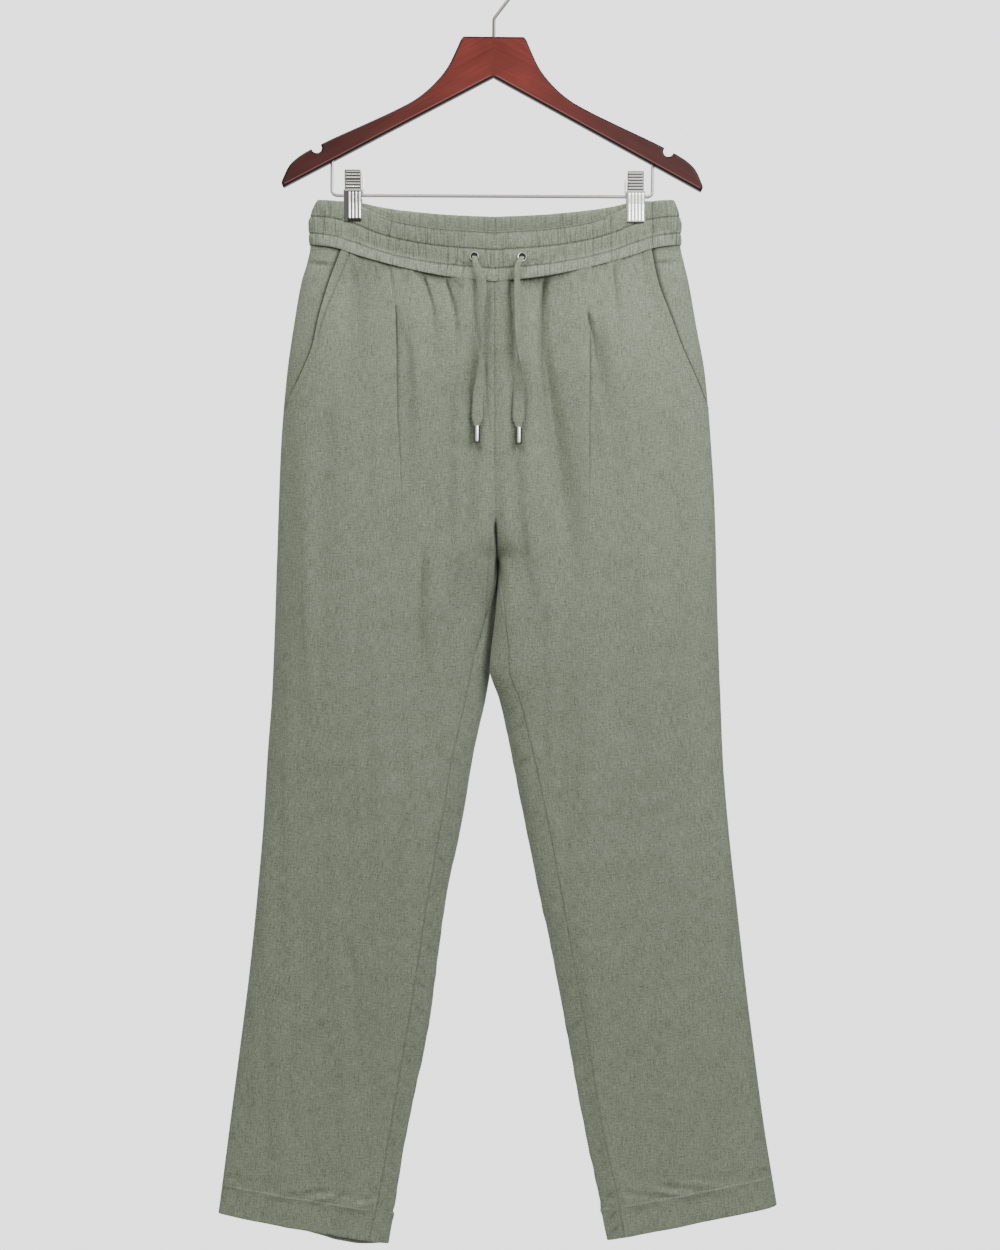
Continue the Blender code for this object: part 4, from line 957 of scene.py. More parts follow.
def band_line(face, down, inset):
    """A fine line along one face of the band at a height, from the left end to the right."""
    w = np.linspace(0, 1, 420)
    level = WAIST_TOP + (WAIST_SEAM - WAIST_TOP) * down
    halves = []
    for side, sign in (("left", -1), ("right", 1)):
        across, share = section(0.0, 1.0, w)
        start = float(outer_x(side, level)) - sign * inset
        x = start * (1 - across)
        sag = SAG_FRONT if face == "front" else SAG_BACK
        top = sag["top_edge"] * curve_through(1 - across, SAG[:, 0], SAG[:, 1])
        seam = sag["seam"] * curve_through(1 - across, SAG[:, 0], SAG[:, 2])
        z = level - (top * (1 - down) + seam * down)
        depth = float(curve_through(WAIST_SEAM, LEVEL, FRONT_DEPTH if face == "front" else BACK_DEPTH))
        near_clip = CLIP_FLATTEN * np.exp(-(((np.abs(x) - CLIP_REACH) / CLIP_SPREAD) ** 2))
        low = (depth - inset) * share * (1 - near_clip)
        half = abs(start) + 1e-6
        reach = np.clip(np.abs(x) / PINCH_INNER, 0, 1)
        end = np.clip((np.abs(x) - PINCH_OUTER) / (half - PINCH_OUTER), 0, 1)
        middle = BAND_PINCH + BAND_BULGE[face] * (1 + np.cos(math.pi * reach)) / 2
        loop = (BAND_PINCH + BAND_END_LOOP * ease(end / 0.6)) * np.sqrt(1 - end**6)
        high = np.where(np.abs(x) < PINCH_OUTER, middle, loop)
        high = np.maximum(high - inset * np.clip(share * 3, 0, 1), 0)
        spread = ease((down - SPREAD_FROM) / (1 - SPREAD_FROM))
        y = high * (1 - spread) + low * spread
        halves.append(np.stack([x, -y if face == "front" else y, z], axis=-1))
    return np.concatenate([halves[0], halves[1][::-1][1:]])


def evenly(line, count):
    """The line again, with count even steps."""
    run = run_along(line[:, :2])
    at = np.linspace(0, run[-1], count + 1)
    return np.stack([np.interp(at, run, line[:, k]) for k in range(3)], axis=-1)


def band_ring(down, inset):
    """The band's whole round at a height: along the front, then back behind."""
    front_line = evenly(band_line("front", down, inset), BAND_FRONT)
    back_line = evenly(band_line("back", down, inset), BAND_BACK)[::-1]
    return np.concatenate([front_line[:-1], back_line[:-1]])


def flat_near(ring, down):
    """1 where the band gathers freely, less under the clips and round the eyelets."""
    share = np.ones(len(ring))
    pressed = 0.75 * (1 - float(ease((down - 0.44) / 0.12)))
    for x in CLIP_X.values():
        share *= 1 - pressed * (1 - ease((np.abs(ring[:, 0] - x) - 10.0) / 7.0))
    for x, _ in EYELETS.values():
        beside = ease((np.abs(ring[:, 0] - x) - 5.5) / 7.0)
        share *= np.where(ring[:, 1] < 0, beside, 1.0)
    return share


def gather_creases(run, within, seed, low, high, width):
    """Hairline creases down a row of the band, each with its own lean, length and strength."""
    rng = np.random.default_rng(seed)
    places = np.cumsum(rng.uniform(low, high, 400))
    places = places[places < 900]
    count = len(places)
    strength = rng.uniform(0.25, 1.0, count) ** 1.3
    lean = rng.normal(0.0, 1.3, count)
    begin, end = rng.uniform(-0.5, 0.45, count), rng.uniform(0.55, 1.5, count)
    widths = rng.uniform(0.7, 1.3, count) * width
    fade = ease((within - begin) / 0.2) * ease((end - within) / 0.2)
    at = places + lean * (within - 0.5)
    away = (run[:, None] - at[None, :]) / widths[None, :]
    return np.sum(strength * fade * np.exp(-(away**2)), axis=1)


edges_of_rows = (0.0, *STITCH_ROWS, 1.0)
downs = [0.995, 0.985]
for first, last in zip(edges_of_rows[::-1], edges_of_rows[::-1][1:]):
    downs += [first - 0.007, first - 0.016, first - 0.03]
    downs += list(np.linspace(first - 0.05, last + 0.05, 9))
    downs += [last + 0.03, last + 0.016, last + 0.007]
    downs += [last] if last > 0 else [0.0]
downs = sorted({round(float(down), 4) for down in downs if down < 0.99}, reverse=True)
band_inner = BAND_WALL - BAND_PROUD
profile = [(1.0, 1.6), (1.0, 0.5), *((down, -BAND_PROUD) for down in downs), (-0.012, 0.0), (-0.012, 0.9),
           *((down, band_inner) for down in np.linspace(0.0, 1.0, 14))]
band_points, band_out, band_shade, band_run, band_down = [], [], [], [], []
for down, inset in profile:
    ring = band_ring(min(max(down, 0.0), 1.0), inset)
    along = np.roll(ring, -1, axis=0) - np.roll(ring, 1, axis=0)
    outward = unit(np.stack([along[:, 1], -along[:, 0], np.zeros(len(ring))], axis=-1))
    run = np.where(ring[:, 1] < 0, 200.0 + ring[:, 0], 600.0 - ring[:, 0])
    row = int(np.clip(np.searchsorted(edges_of_rows, down) - 1, 0, 2))
    row_top, row_foot = edges_of_rows[row], edges_of_rows[row + 1]
    within = float(np.clip((down - row_top) / (row_foot - row_top), 0, 1))
    puff = math.sin(math.pi * within) ** 0.6
    free = flat_near(ring, down)
    through = gather_creases(run, min(max(down, 0.0), 1.0), 70, 12.0, 34.0, 0.7)
    own = gather_creases(run, within, 71 + row, 1.7, 4.4, 0.5)
    lines = np.clip(0.8 * through + 0.75 * own, 0, 1.2) * free
    shade = np.zeros(len(ring))
    if inset == -BAND_PROUD:
        soft = 0.35 * drift(run / 3.4, down * 4.0 + row * 9, 76) + 0.30 * drift(run / 9.0, down * 2.0, 77)
        height = ROW_PUFF[row] * puff + soft * free * (0.4 + 0.6 * puff) - 0.95 * lines
        # Painted shade in the gather creases.
        shade = ROW_SHADE[row] * lines
        # A dark line painted along the front's top edge, as the shade where the inner band shows above it.
        lip = np.where(ring[:, 1] < 0, ease((135.0 - np.abs(ring[:, 0])) / 30.0), 0.0)
        shade = shade + 0.95 * lip * math.exp(-((down / 0.022) ** 2))
        # Each stitch row is sunk and painted dark as shade.
        for line, deep, dark in zip(STITCH_ROWS, STITCH_DEEP, STITCH_SHADE):
            sewn = math.exp(-(((down - line) / 0.017) ** 2))
            height = height - deep * sewn
            shade = shade + sewn * (dark + 0.2 * drift(run / 2.6, line, 78))
        # Tangled bunches beside the eyelets, painted dark as shade.
        for (x, _), toward in zip(EYELETS.values(), (-1, 1)):
            beside = np.clip((ring[:, 0] - x) * toward, 0, None)
            bunch = np.where(ring[:, 1] < 0, np.exp(-(((beside - 13.0) / 9.0) ** 2)), 0.0)
            bunch = bunch * math.exp(-(((down - 0.66) / 0.055) ** 2))
            tangle = drift(run / 2.4, down * 30.0, 79)
            height = height + 0.7 * bunch * tangle
            shade = shade + 0.75 * bunch * np.clip(0.5 + tangle, 0, 1)
    elif down < 0:
        height = np.zeros(len(ring))
        ring[:, 2] += 0.9 - 0.9 * lines
        # Painted shade in the gathers along the top edge.
        shade = 0.3 * lines
    elif inset > band_inner - 0.01:
        inner = gather_creases(run, down, 75, 3.6, 7.4, 0.8) * free
        height = -(0.3 * puff - 0.9 * np.clip(inner, 0, 1.2))
        # Inside, painted shade in the gathers, growing down the inner face.
        shade = 0.45 * np.clip(inner, 0, 1.2) + 0.28 * float(ease(down / 0.4))
    else:
        height = np.zeros(len(ring))
        # The band's lower edge is painted dark as the shade under it.
        shade = shade + 0.4
    band_points.append(ring + outward * np.asarray(height)[:, None])
    band_out.append(outward)
    band_shade.append(shade)
    band_run.append(run)
    band_down.append(np.full(len(ring), BAND_HIGH * down + 3.0 * (1.6 - inset)))
band_points, band_out, band_shade = np.array(band_points), np.array(band_out), np.array(band_shade)
band_threads = (np.array(band_run), np.array(band_down))
waistband = sheet_of("linen_waistband", band_points, band_out, SAGE, band_shade, band_threads, ring=True)
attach(waistband, ROOT)
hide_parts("waistband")


# ---------------------------------------------------------------- stitching
# Lockstitch in thread of the cloth's colour: two rows round the waistband, one round each hem, one
# beside each pocket mouth.
STITCH_PITCH, STITCH_LENGTH, STITCH_RADIUS = 3.0, 2.3, 0.19
thread_finish, thread_tree, thread_shader = finish_of("sage thread", (0.24, 0.27, 0.21), 0.6)
thread_noise = node(thread_tree, "ShaderNodeTexNoise", Scale=900.0, Detail=2.0)
raised(thread_tree, thread_shader, thread_noise.outputs["Fac"], 0.4, 0.0001)


def stitches(name, lines, lift):
    """Short thread loops along lines of (points, outward) in millimetres, lift above them."""
    verts, faces = [], []
    for points, outward, closed in lines:
        if closed:
            points = np.concatenate([points, points[:1]])
            outward = np.concatenate([outward, outward[:1]])
        run = run_along(points)
        for start in np.arange(1.0, run[-1] - STITCH_PITCH, STITCH_PITCH):
            places = []
            for share, rise in ((0.0, 0.0), (0.5, lift), (1.0, 0.0)):
                at = start + share * STITCH_LENGTH
                place = np.array([np.interp(at, run, points[:, k]) for k in range(3)])
                out = np.array([np.interp(at, run, outward[:, k]) for k in range(3)])
                places.append((place + out * rise, out))
            along = places[2][0] - places[0][0]
            along /= np.linalg.norm(along) + 1e-9
            base = len(verts)
            for place, out in places:
                beside = np.cross(along, out)
                for angle in (0.0, 1.571, 3.142, 4.712):
                    verts.append(place + STITCH_RADIUS * (beside * math.cos(angle) + out * math.sin(angle)))
            for ring in (0, 4):
                for k in range(4):
                    a, b = base + ring + k, base + ring + (k + 1) % 4
                    faces.append((a, b, b + 4, a + 4))
            faces.append((base + 3, base + 2, base + 1, base))
            faces.append((base + 8, base + 9, base + 10, base + 11))
    made = piece_of(name, verts, faces, thread_finish)
    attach(made, ROOT)


outside = [k for k, (_, inset) in enumerate(profile) if inset == -BAND_PROUD]
band_lines = []
for line in STITCH_ROWS:
    k = min(outside, key=lambda k: abs(profile[k][0] - line))
    band_lines.append((band_points[k], band_out[k], True))
stitches("waistband_stitching", band_lines, 0.1)
for side in SIDES:
    levels = row_levels(side)
    lines = []
    for skin, outward in (front_rows[side], back_rows[side]):
        k = int(np.argmin(np.abs(levels - (HEM_SIDE[side] + HEM_DEPTH))))
        lines.append((skin[k], outward[k], False))
    skin, outward = front_rows[side]
    mouth = [k for k, level in enumerate(levels) if POCKET_CLOSE < level]
    beside = []
    for k in mouth:
        run = run_along(skin[k])
        beside.append([np.interp(7.0, run, skin[k][:, j]) for j in range(3)])
    lines.append((np.array(beside), np.array([outward[k][5] for k in mouth]), False))
    stitches(f"stitching_{side}", lines, 0.4)


# ---------------------------------------------------------------- drawcords
# Flat tapes folded from the same linen. Each leaves its eyelet, twists as it hangs down the front and
# ends in a pressed metal tube.
TAPE_WIDTH, TAPE_THICK = 12.6, 2.4
CORD_ROUTES = {
    "left": (
        (-21.1, -26.6, -307.9, 0.40, 0.0),
        (-20.8, -30.6, -310.0, 0.42, 5.0),
        (-19.0, -33.0, -318.0, 0.60, 12.0),
        (-15.4, -34.8, -328.0, 0.85, 20.0),
        (-13.3, -36.5, -342.0, 0.95, 30.0),
        (-14.8, -42.0, -375.7, 0.98, 48.0),
        (-14.2, -46.6, -409.5, 1.00, 85.0),
        (-14.6, -47.2, -428.0, 1.00, 122.0),
        (-16.6, -45.2, -453.2, 1.00, 165.0),
        (-17.8, -43.8, -477.0, 0.98, 178.0),
        (-18.4, -43.6, -486.6, 0.46, 180.0),
    ),
    "right": (
        (28.9, -26.4, -308.5, 0.40, 0.0),
        (28.0, -30.4, -310.8, 0.42, -8.0),
        (24.4, -33.0, -318.0, 0.55, -30.0),
        (23.4, -35.4, -328.0, 0.75, -52.0),
        (24.0, -37.5, -342.0, 0.85, -48.0),
        (24.4, -42.4, -375.7, 0.95, -52.0),
        (24.9, -46.8, -403.3, 1.00, -78.0),
        (25.3, -46.6, -431.0, 1.00, -130.0),
        (25.5, -45.0, -453.2, 1.00, -158.0),
        (24.8, -43.8, -477.0, 0.98, -175.0),
        (25.2, -43.6, -488.0, 0.46, -180.0),
    ),
}
TAPE_STEPS, TAPE_AROUND = 150, 24
TIP_LENGTH, TIP_RADIUS = 17.0, 3.25


def lathe(name, rings, start, along, segments, finish):
    """A turned piece: rings of (radius, distance) about an axis from start, in millimetres."""
    along = np.asarray(along, float) / np.linalg.norm(along)
    side_axis = np.cross(along, (0, 1, 0) if abs(along[1]) < 0.9 else (1, 0, 0))
    side_axis /= np.linalg.norm(side_axis)
    third = np.cross(along, side_axis)
    angle = np.linspace(0, 2 * math.pi, segments, endpoint=False)
    circle = np.outer(np.cos(angle), side_axis) + np.outer(np.sin(angle), third)
    verts = np.concatenate([np.asarray(start) + along * far + circle * radius for radius, far in rings])
    faces = []
    for k in range(len(rings) - 1):
        for i in range(segments):
            a, b = k * segments + i, k * segments + (i + 1) % segments
            faces.append((a, a + segments, b + segments, b))
    return piece_of(name, verts, faces, finish, 40)


def unevenly_polished(tree, shader, scale, detail, low, high):
    """Makes a metal's roughness wander between two values."""
    noise = node(tree, "ShaderNodeTexNoise", Scale=scale, Detail=detail)
    rough = node(tree, "ShaderNodeMapRange")
    rough.inputs["To Min"].default_value, rough.inputs["To Max"].default_value = low, high
    link(tree, noise.outputs["Fac"], rough.inputs["Value"])
    link(tree, rough.outputs["Result"], shader.inputs["Roughness"])


# The tube's highlight is painted: a bright streak down its front, with painted dark reflection on either
# side and at its bottom end.
TUBE_DARK_REFLECTION, TUBE_HIGHLIGHT = (0.075, 0.068, 0.060, 1), (0.97, 0.96, 0.95, 1)
tube_finish, tube_tree, tube_shader = finish_of("polished nickel tube", (0.72, 0.71, 0.69), 0.2, 1.0)
gleam_share = node(tube_tree, "ShaderNodeAttribute", attribute_name="gleam").outputs["Fac"]
tube_colour = coloured(tube_tree, gleam_share, TUBE_DARK_REFLECTION, TUBE_HIGHLIGHT)
link(tube_tree, tube_colour, tube_shader.inputs["Base Color"])
unevenly_polished(tube_tree, tube_shader, 420.0, 3.0, 0.12, 0.28)
for side in SIDES:
    table = np.array(CORD_ROUTES[side])
    run = run_along(table[:, :3])
    at = np.linspace(0, run[-1], TAPE_STEPS)
    route = np.stack([curve_through(at, run, table[:, k]) for k in range(5)], axis=-1)
    along = unit(np.gradient(route[:, :3], axis=0))
    wide = unit(np.cross(along, np.cross((1.0, 0.0, 0.0), along)))
    deep = np.cross(along, wide)
    twist = np.radians(route[:, 4])[:, None]
    turned = wide * np.cos(twist) + deep * np.sin(twist)
    normal = np.cross(along, turned)
    angle = np.linspace(0, 2 * math.pi, TAPE_AROUND, endpoint=False)
    flat = np.sign(np.cos(angle)) * np.abs(np.cos(angle)) ** 0.8
    rise = np.sign(np.sin(angle)) * np.abs(np.sin(angle)) ** 0.7
    stitch_dip = 1 - 0.35 * np.exp(-(((np.abs(flat) - 0.78) / 0.06) ** 2))
    points, outs, edge_shades = [], [], []
    for k in range(TAPE_STEPS):
        pucker = 1 + 0.05 * drift(k / 5.0 + angle, 0.5, 90)
        shape = (np.outer(flat, turned[k]) * TAPE_WIDTH / 2
                 + np.outer(rise * stitch_dip * pucker, normal[k]) * TAPE_THICK / 2)
        points.append(route[k, :3] + route[k, 3] * shape)
        outs.append(unit(shape))
        low = float(ease((-340.0 - route[k, 2]) / 25.0)) if side == "left" else 0.0
        # Painted shade along the tape's edges: strong on the left edge, weaker on the right, which darkens
        # lower down on the left cord.
        rim = np.exp(-(((1 - np.abs(flat)) / 0.12) ** 2)) * abs(turned[k, 0])
        edge_shades.append(rim * np.where(shape[:, 0] < 0, 0.8, 0.3 + 0.5 * low))
    tape = sheet_of(f"linen_drawcord_{side}", np.array(points), np.array(outs), SAGE, np.array(edge_shades),
                    ring=True)
    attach(tape, ROOT)
    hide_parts(f"drawcord_{side}")
    end = route[-1, :3]
    tube = [(0.0, -0.4), (TIP_RADIUS - 0.6, -0.4), (TIP_RADIUS - 0.1, -0.2), (TIP_RADIUS, 0.3)]
    tube += [(TIP_RADIUS - narrower, TIP_LENGTH - up) for narrower, up in (
        (0.0, 2.4), (0.0, 1.6), (0.0, 0.8), (0.25, 0.2), (0.7, 0.0), (0.9, 0.4), (TIP_RADIUS, 0.9))]
    tip = lathe(f"cord_tube_{side}", tube, end - (0, 0, 0.3), (0, 0, -1), 32, tube_finish)
    place = np.array([vertex.co[:] for vertex in tip.data.vertices]) / MM
    # The painted highlight: a streak just right of the tube's front, gone at its very bottom.
    beside = (place[:, 0] - end[0]) / TIP_RADIUS - 0.12
    gleam = np.exp(-((beside / 0.40) ** 2)) * ease((place[:, 2] - end[2] + TIP_LENGTH - 0.9) / 0.8)
    painted(tip, "gleam", gleam)
    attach(tip, ROOT)
    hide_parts(f"cord_tip_{side}")


# ---------------------------------------------------------------- eyelets
# Pressed nickel rings set through the band's middle row, which the drawcords leave by.
EYELET_LIFT = 1.9
# radius, how far in from the cloth's face
EYELET_RINGS = ((3.3, 3.2), (3.3, 0.4), (3.5, -0.55), (3.95, -1.15), (4.5, -1.25), (5.0, -0.8),
                (5.25, -0.05), (5.2, 0.5))
nickel_finish, nickel_tree, nickel_shader = finish_of("polished nickel", (0.72, 0.71, 0.69), 0.16, 1.0)
unevenly_polished(nickel_tree, nickel_shader, 420.0, 3.0, 0.10, 0.26)
# A near-black finish painted as the shade inside the band, seen through each eyelet.
hole_finish, hole_tree, hole_shader = finish_of("painted shade in the eyelet hole", (0.012, 0.013, 0.011), 0.9)
hole_noise = node(hole_tree, "ShaderNodeTexNoise", Scale=1400.0, Detail=2.0)
raised(hole_tree, hole_shader, hole_noise.outputs["Fac"], 0.5, 0.0002)
for side in SIDES:
    x, z = EYELETS[side]
    line = band_line("front", EYELET_DOWN, -BAND_PROUD)
    near = int(np.argmin(np.abs(line[:, 0] - x)))
    along = line[near + 4] - line[near - 4]
    facing_out = np.array([along[1], -along[0], 0.0])
    facing_out /= np.linalg.norm(facing_out)
    centre = np.array([x, line[near, 1] - EYELET_LIFT, z])
    ring = lathe(f"eyelet_ring_{side}", EYELET_RINGS, centre, -facing_out, 48, nickel_finish)
    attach(ring, ROOT)
    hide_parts(f"eyelet_{side}")
    # A near-black disc in the ring's hole stands in for the shade inside the band.
    plug = lathe(f"eyelet_shade_disc_{side}", ((3.35, 0.0), (0.0, 0.0)), centre, -facing_out, 32, hole_finish)
    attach(plug, ROOT)


# ---------------------------------------------------------------- wooden arms
# The hanger's two arms are shaped from one board each, jointed at the middle, notched near the ends,
# stained red-brown and varnished, darker along the rounded edges and towards the ends; along the
# underside a pale highlight is painted on the edge, with a painted shade line beside it.
HANGER_TILT = math.radians(0.6)
WOOD_TOP, WOOD_THICK = -74.0, 14.0
ARM_OUTLINE = (
    (0.0, 0.0, True),
    (31.8, 0.0, True),
    (33.9, -2.2, False),
    (38.0, -11.1, False),
    (48.5, -32.7, False),
    (64.9, -52.7, False),
    (82.3, -67.0, False),
    (104.4, -79.1, False),
    (134.4, -93.3, False),
    (180.3, -114.9, False),
    (205.1, -129.2, False),
    (214.1, -138.1, False),
    (219.3, -148.7, False),
    (222.0, -156.5, False),
    (220.0, -160.9, True),
    (0.0, -42.7, True),
)
NOTCH = (185.2, -119.1, 5.3)
ARM_UNDERSIDE = ((0.0, 220.0), (-42.7, -160.9))
EDGE_PROFILE = ((0.0, 3.0), (0.1, 1.9), (0.5, 0.95), (1.1, 0.35), (1.9, 0.05), (2.8, 0.0), (3.4, 0.0))
# inset, edge share: along the underside a pale highlight is painted on the edge (a share below 0), with a
# painted shade line beside it
UNDER_EDGE = {2.8: -0.4, 1.9: 0.2}
WOOD, wood_tree, wood_shader = finish_of("stained wood", (0.16, 0.03, 0.02), 0.34)
grain_place = node(wood_tree, "ShaderNodeAttribute", attribute_name="grain").outputs["Vector"]
edge_share = node(wood_tree, "ShaderNodeAttribute", attribute_name="edge").outputs["Fac"]
streaks = threads(wood_tree, grain_place, 60.0, 1.4, 4.0, 5)
pores = threads(wood_tree, grain_place, 9.0, 0.45, 2.0, 6)
clouds = threads(wood_tree, grain_place, 40.0, 22.0, 1.0, 7)
tone = weighed(wood_tree, (streaks, 0.45), (pores, 0.2), (clouds, 0.35))
# Darkening for the arms' ends and rounded edges, and the colour of the highlight painted along the
# underside's edge.
END_DARKENING, EDGE_DARK, UNDER_EDGE_HIGHLIGHT = (0.56, 0.95, 1.05, 1), (0.012, 0.005, 0.005, 1), (0.42, 0.22, 0.20, 1)
wood_ramp = node(wood_tree, "ShaderNodeValToRGB")
dark_wood, light_wood = wood_ramp.color_ramp.elements
dark_wood.position, light_wood.position = 0.22, 0.74
dark_wood.color, light_wood.color = (0.062, 0.012, 0.010, 1), (0.205, 0.039, 0.029, 1)
link(wood_tree, tone, wood_ramp.inputs["Fac"])
# Each arm's grain runs from its own origin, 300 mm either side, and the arm darkens towards its end.
apart = node(wood_tree, "ShaderNodeSeparateXYZ")
link(wood_tree, grain_place, apart.inputs["Vector"])
along_arm = node(wood_tree, "ShaderNodeMapRange", clamp=True)
along_arm.inputs["From Min"].default_value, along_arm.inputs["From Max"].default_value = 80.0, 200.0
along_arm.inputs["To Max"].default_value = 0.8
from_middle = node(wood_tree, "ShaderNodeMath", operation="ADD")
from_middle.inputs[1].default_value = 300.0
link(wood_tree, apart.outputs["X"], from_middle.inputs[0])
each_arm = node(wood_tree, "ShaderNodeMath", operation="FLOORED_MODULO")
each_arm.inputs[1].default_value = 600.0
link(wood_tree, from_middle.outputs["Value"], each_arm.inputs[0])
link(wood_tree, each_arm.outputs["Value"], along_arm.inputs["Value"])
end_share = along_arm.outputs["Result"]
darker_to_end = coloured(wood_tree, end_share, wood_ramp.outputs["Color"], END_DARKENING, "MULTIPLY")
edged = coloured(wood_tree, edge_share, darker_to_end, EDGE_DARK)
# Where the edge share is below 0, a pale highlight is painted on the underside's edge.
highlighted = coloured(wood_tree, blended(wood_tree, "MULTIPLY", edge_share, -1.0), edged, UNDER_EDGE_HIGHLIGHT)
link(wood_tree, highlighted, wood_shader.inputs["Base Color"])
raised(wood_tree, wood_shader, tone, 0.12, 0.0002)
wood_shader.inputs["Specular IOR Level"].default_value = 0.12
wood_shader.inputs["Coat Weight"].default_value = 0.05
wood_shader.inputs["Coat Roughness"].default_value = 0.12


def tilted(points):
    """The hanger hangs a little lower at its right end."""
    points = np.asarray(points, float)
    c, s = math.cos(HANGER_TILT), math.sin(HANGER_TILT)
    return np.stack([points[..., 0] * c + points[..., 2] * s, points[..., 1],
                     -points[..., 0] * s + points[..., 2] * c], axis=-1)


def arm_outline():
    """The board's outline as a close loop, from its top centre round to its underside."""
    corners = [k for k, row in enumerate(ARM_OUTLINE) if row[2]]
    loop = []
    for first, last in zip(corners, corners[1:] + [corners[0] + len(ARM_OUTLINE)]):
        piece = np.array([ARM_OUTLINE[k % len(ARM_OUTLINE)][:2] for k in range(first, last + 1)])
        run = run_along(piece)
        count = max(2, int(run[-1] / 2.2))
        at = np.linspace(0, run[-1], count + 1)[:-1]
        between = curve_through if len(piece) > 2 else np.interp
        loop += [tuple(float(between(t, run, piece[:, k])) for k in range(2)) for t in at]
    cx, cy, radius = NOTCH
    kept = [p for p in loop if math.hypot(p[0] - cx, p[1] - cy) > radius or p[1] < cy - 12]
    gap = max(range(len(kept)),
              key=lambda k: math.hypot(kept[k][0] - kept[k - 1][0], kept[k][1] - kept[k - 1][1]))
    first, last = kept[gap - 1], kept[gap]
    start = math.atan2(first[1] - cy, first[0] - cx)
    end = math.atan2(last[1] - cy, last[0] - cx)
    if end < start:
        end += 2 * math.pi
    arc = [(cx + radius * math.cos(a), cy + radius * math.sin(a)) for a in np.linspace(start, end, 18)]
    return np.array(kept[:gap] + arc + kept[gap:])


def inset_loop(loop, inward, inset):
    """The loop moved inwards, its points that would cross at a corner gathered on its neighbours."""
    moved = loop + inward * inset
    if inset == 0:
        return moved
    ends = np.roll(loop, -1, axis=0)
    span = ends - loop
    share = np.einsum("pqk,qk->pq", moved[:, None] - loop[None], span) / np.sum(span**2, axis=1)
    near = loop[None] + np.clip(share, 0, 1)[..., None] * span[None]
    distance = np.min(np.linalg.norm(moved[:, None] - near, axis=2), axis=1)
    good = np.where(distance > inset * 0.93)[0]
    index = np.arange(len(loop))
    wrapped = np.concatenate([good - len(loop), good, good + len(loop)])
    places = np.concatenate([moved[good]] * 3)
    return np.stack([np.interp(index, wrapped, places[:, k]) for k in range(2)], axis=-1)


def faces_between(count, wide):
    """The quads that join each of count rings of wide points to the next."""
    faces = []
    for k in range(count - 1):
        for i in range(wide):
            a, b = k * wide + i, k * wide + (i + 1) % wide
            faces.append((a, b, b + wide, a + wide))
    return faces


def build_board(side):
    """One arm: its outline repeated from front to back, drawn in along the rounded edges."""
    sign = -1 if side == "left" else 1
    loop = arm_outline()
    before, after = np.roll(loop, 1, axis=0), np.roll(loop, -1, axis=0)
    tangent = unit(after - before)
    inward = np.stack([tangent[:, 1], -tangent[:, 0]], axis=-1)
    at_joint = loop[:, 0] < 0.5
    underside = np.abs(loop[:, 1] - np.interp(loop[:, 0], *ARM_UNDERSIDE)) < 1.0
    rings, edges = [], []
    half = WOOD_THICK / 2
    steps = [(inset, -(half - drop)) for inset, drop in EDGE_PROFILE[::-1]]
    steps += [(0.0, y) for y in np.linspace(-(half - 3.0), half - 3.0, 5)[1:-1]]
    steps += [(inset, half - drop) for inset, drop in EDGE_PROFILE]
    for inset, y in steps:
        moved = inset_loop(loop, inward, inset)
        moved[at_joint, 0] = loop[at_joint, 0]
        ring = [sign * moved[:, 0], np.full(len(moved), y), WOOD_TOP + moved[:, 1]]
        rings.append(np.stack(ring, axis=-1))
        share = np.full(len(loop), 1 - float(ease((inset - 1.3) / 1.5)))
        share += 0.5 * ease((loop[:, 0] - 20.0) / 170.0)
        # Along the underside, the ring at inset 2.8 gets a painted highlight and the one at 1.9 a painted
        # shade line.
        if inset in UNDER_EDGE:
            share = np.where(underside, UNDER_EDGE[inset], share)
        edges.append(np.where(at_joint, 0.15, np.minimum(share, 1.0)))
    points = tilted(np.concatenate(rings))
    wide = len(loop)
    faces = faces_between(len(rings), wide)
    faces.append(tuple(range(wide)))
    faces.append(tuple(range((len(rings) - 1) * wide, len(rings) * wide))[::-1])
    if side == "left":
        faces = [face[::-1] for face in faces]
    made = piece_of(f"wooden_arm_{side}", points, faces, WOOD, 50)
    (inner_at, outer_at), (inner_z, outer_z) = ARM_UNDERSIDE
    slope = math.atan2(outer_z - inner_z, outer_at - inner_at)
    u = np.abs(points[:, 0]) * math.cos(slope) + points[:, 2] * math.sin(slope)
    v = -np.abs(points[:, 0]) * math.sin(slope) + points[:, 2] * math.cos(slope)
    painted(made, "grain", np.stack([u + 300 * sign, v, points[:, 1]], axis=-1), "vector")
    painted(made, "edge", np.concatenate(edges))
    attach(made, ROOT)
    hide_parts(f"hanger_arm_{side}")


for side in SIDES:
    build_board(side)


# ---------------------------------------------------------------- hook and bar
# Plated steel wire: the hook's stem stands in the wood, and the bar is bent up into both arms.
HOOK_WIRE, HOOK_RADIUS, HOOK_STEM, HOOK_ARC, HOOK_SEAT = 3.6, 21.0, 21.0, (-38.4, 195.0), 26.0
BAR_WIRE, BAR_HALF, BAR_CORNER, BAR_SEAT = 3.5, 169.0, 6.0, 12.0
BAR_DOWN = {"left": -168.3, "right": -166.5}
WIRE_COLOURS = {"hook": (0.15, 0.138, 0.126), "bar": (0.43, 0.405, 0.38)}
wire_finish = {}
for piece, colour in WIRE_COLOURS.items():
    made = finish_of(f"satin plated wire of the {piece}", colour, 0.3, 1.0)
    wire_finish[piece] = made[0]
    unevenly_polished(made[1], made[2], 260.0, 4.0, 0.22, 0.42)


WIRE_SIDES = 20


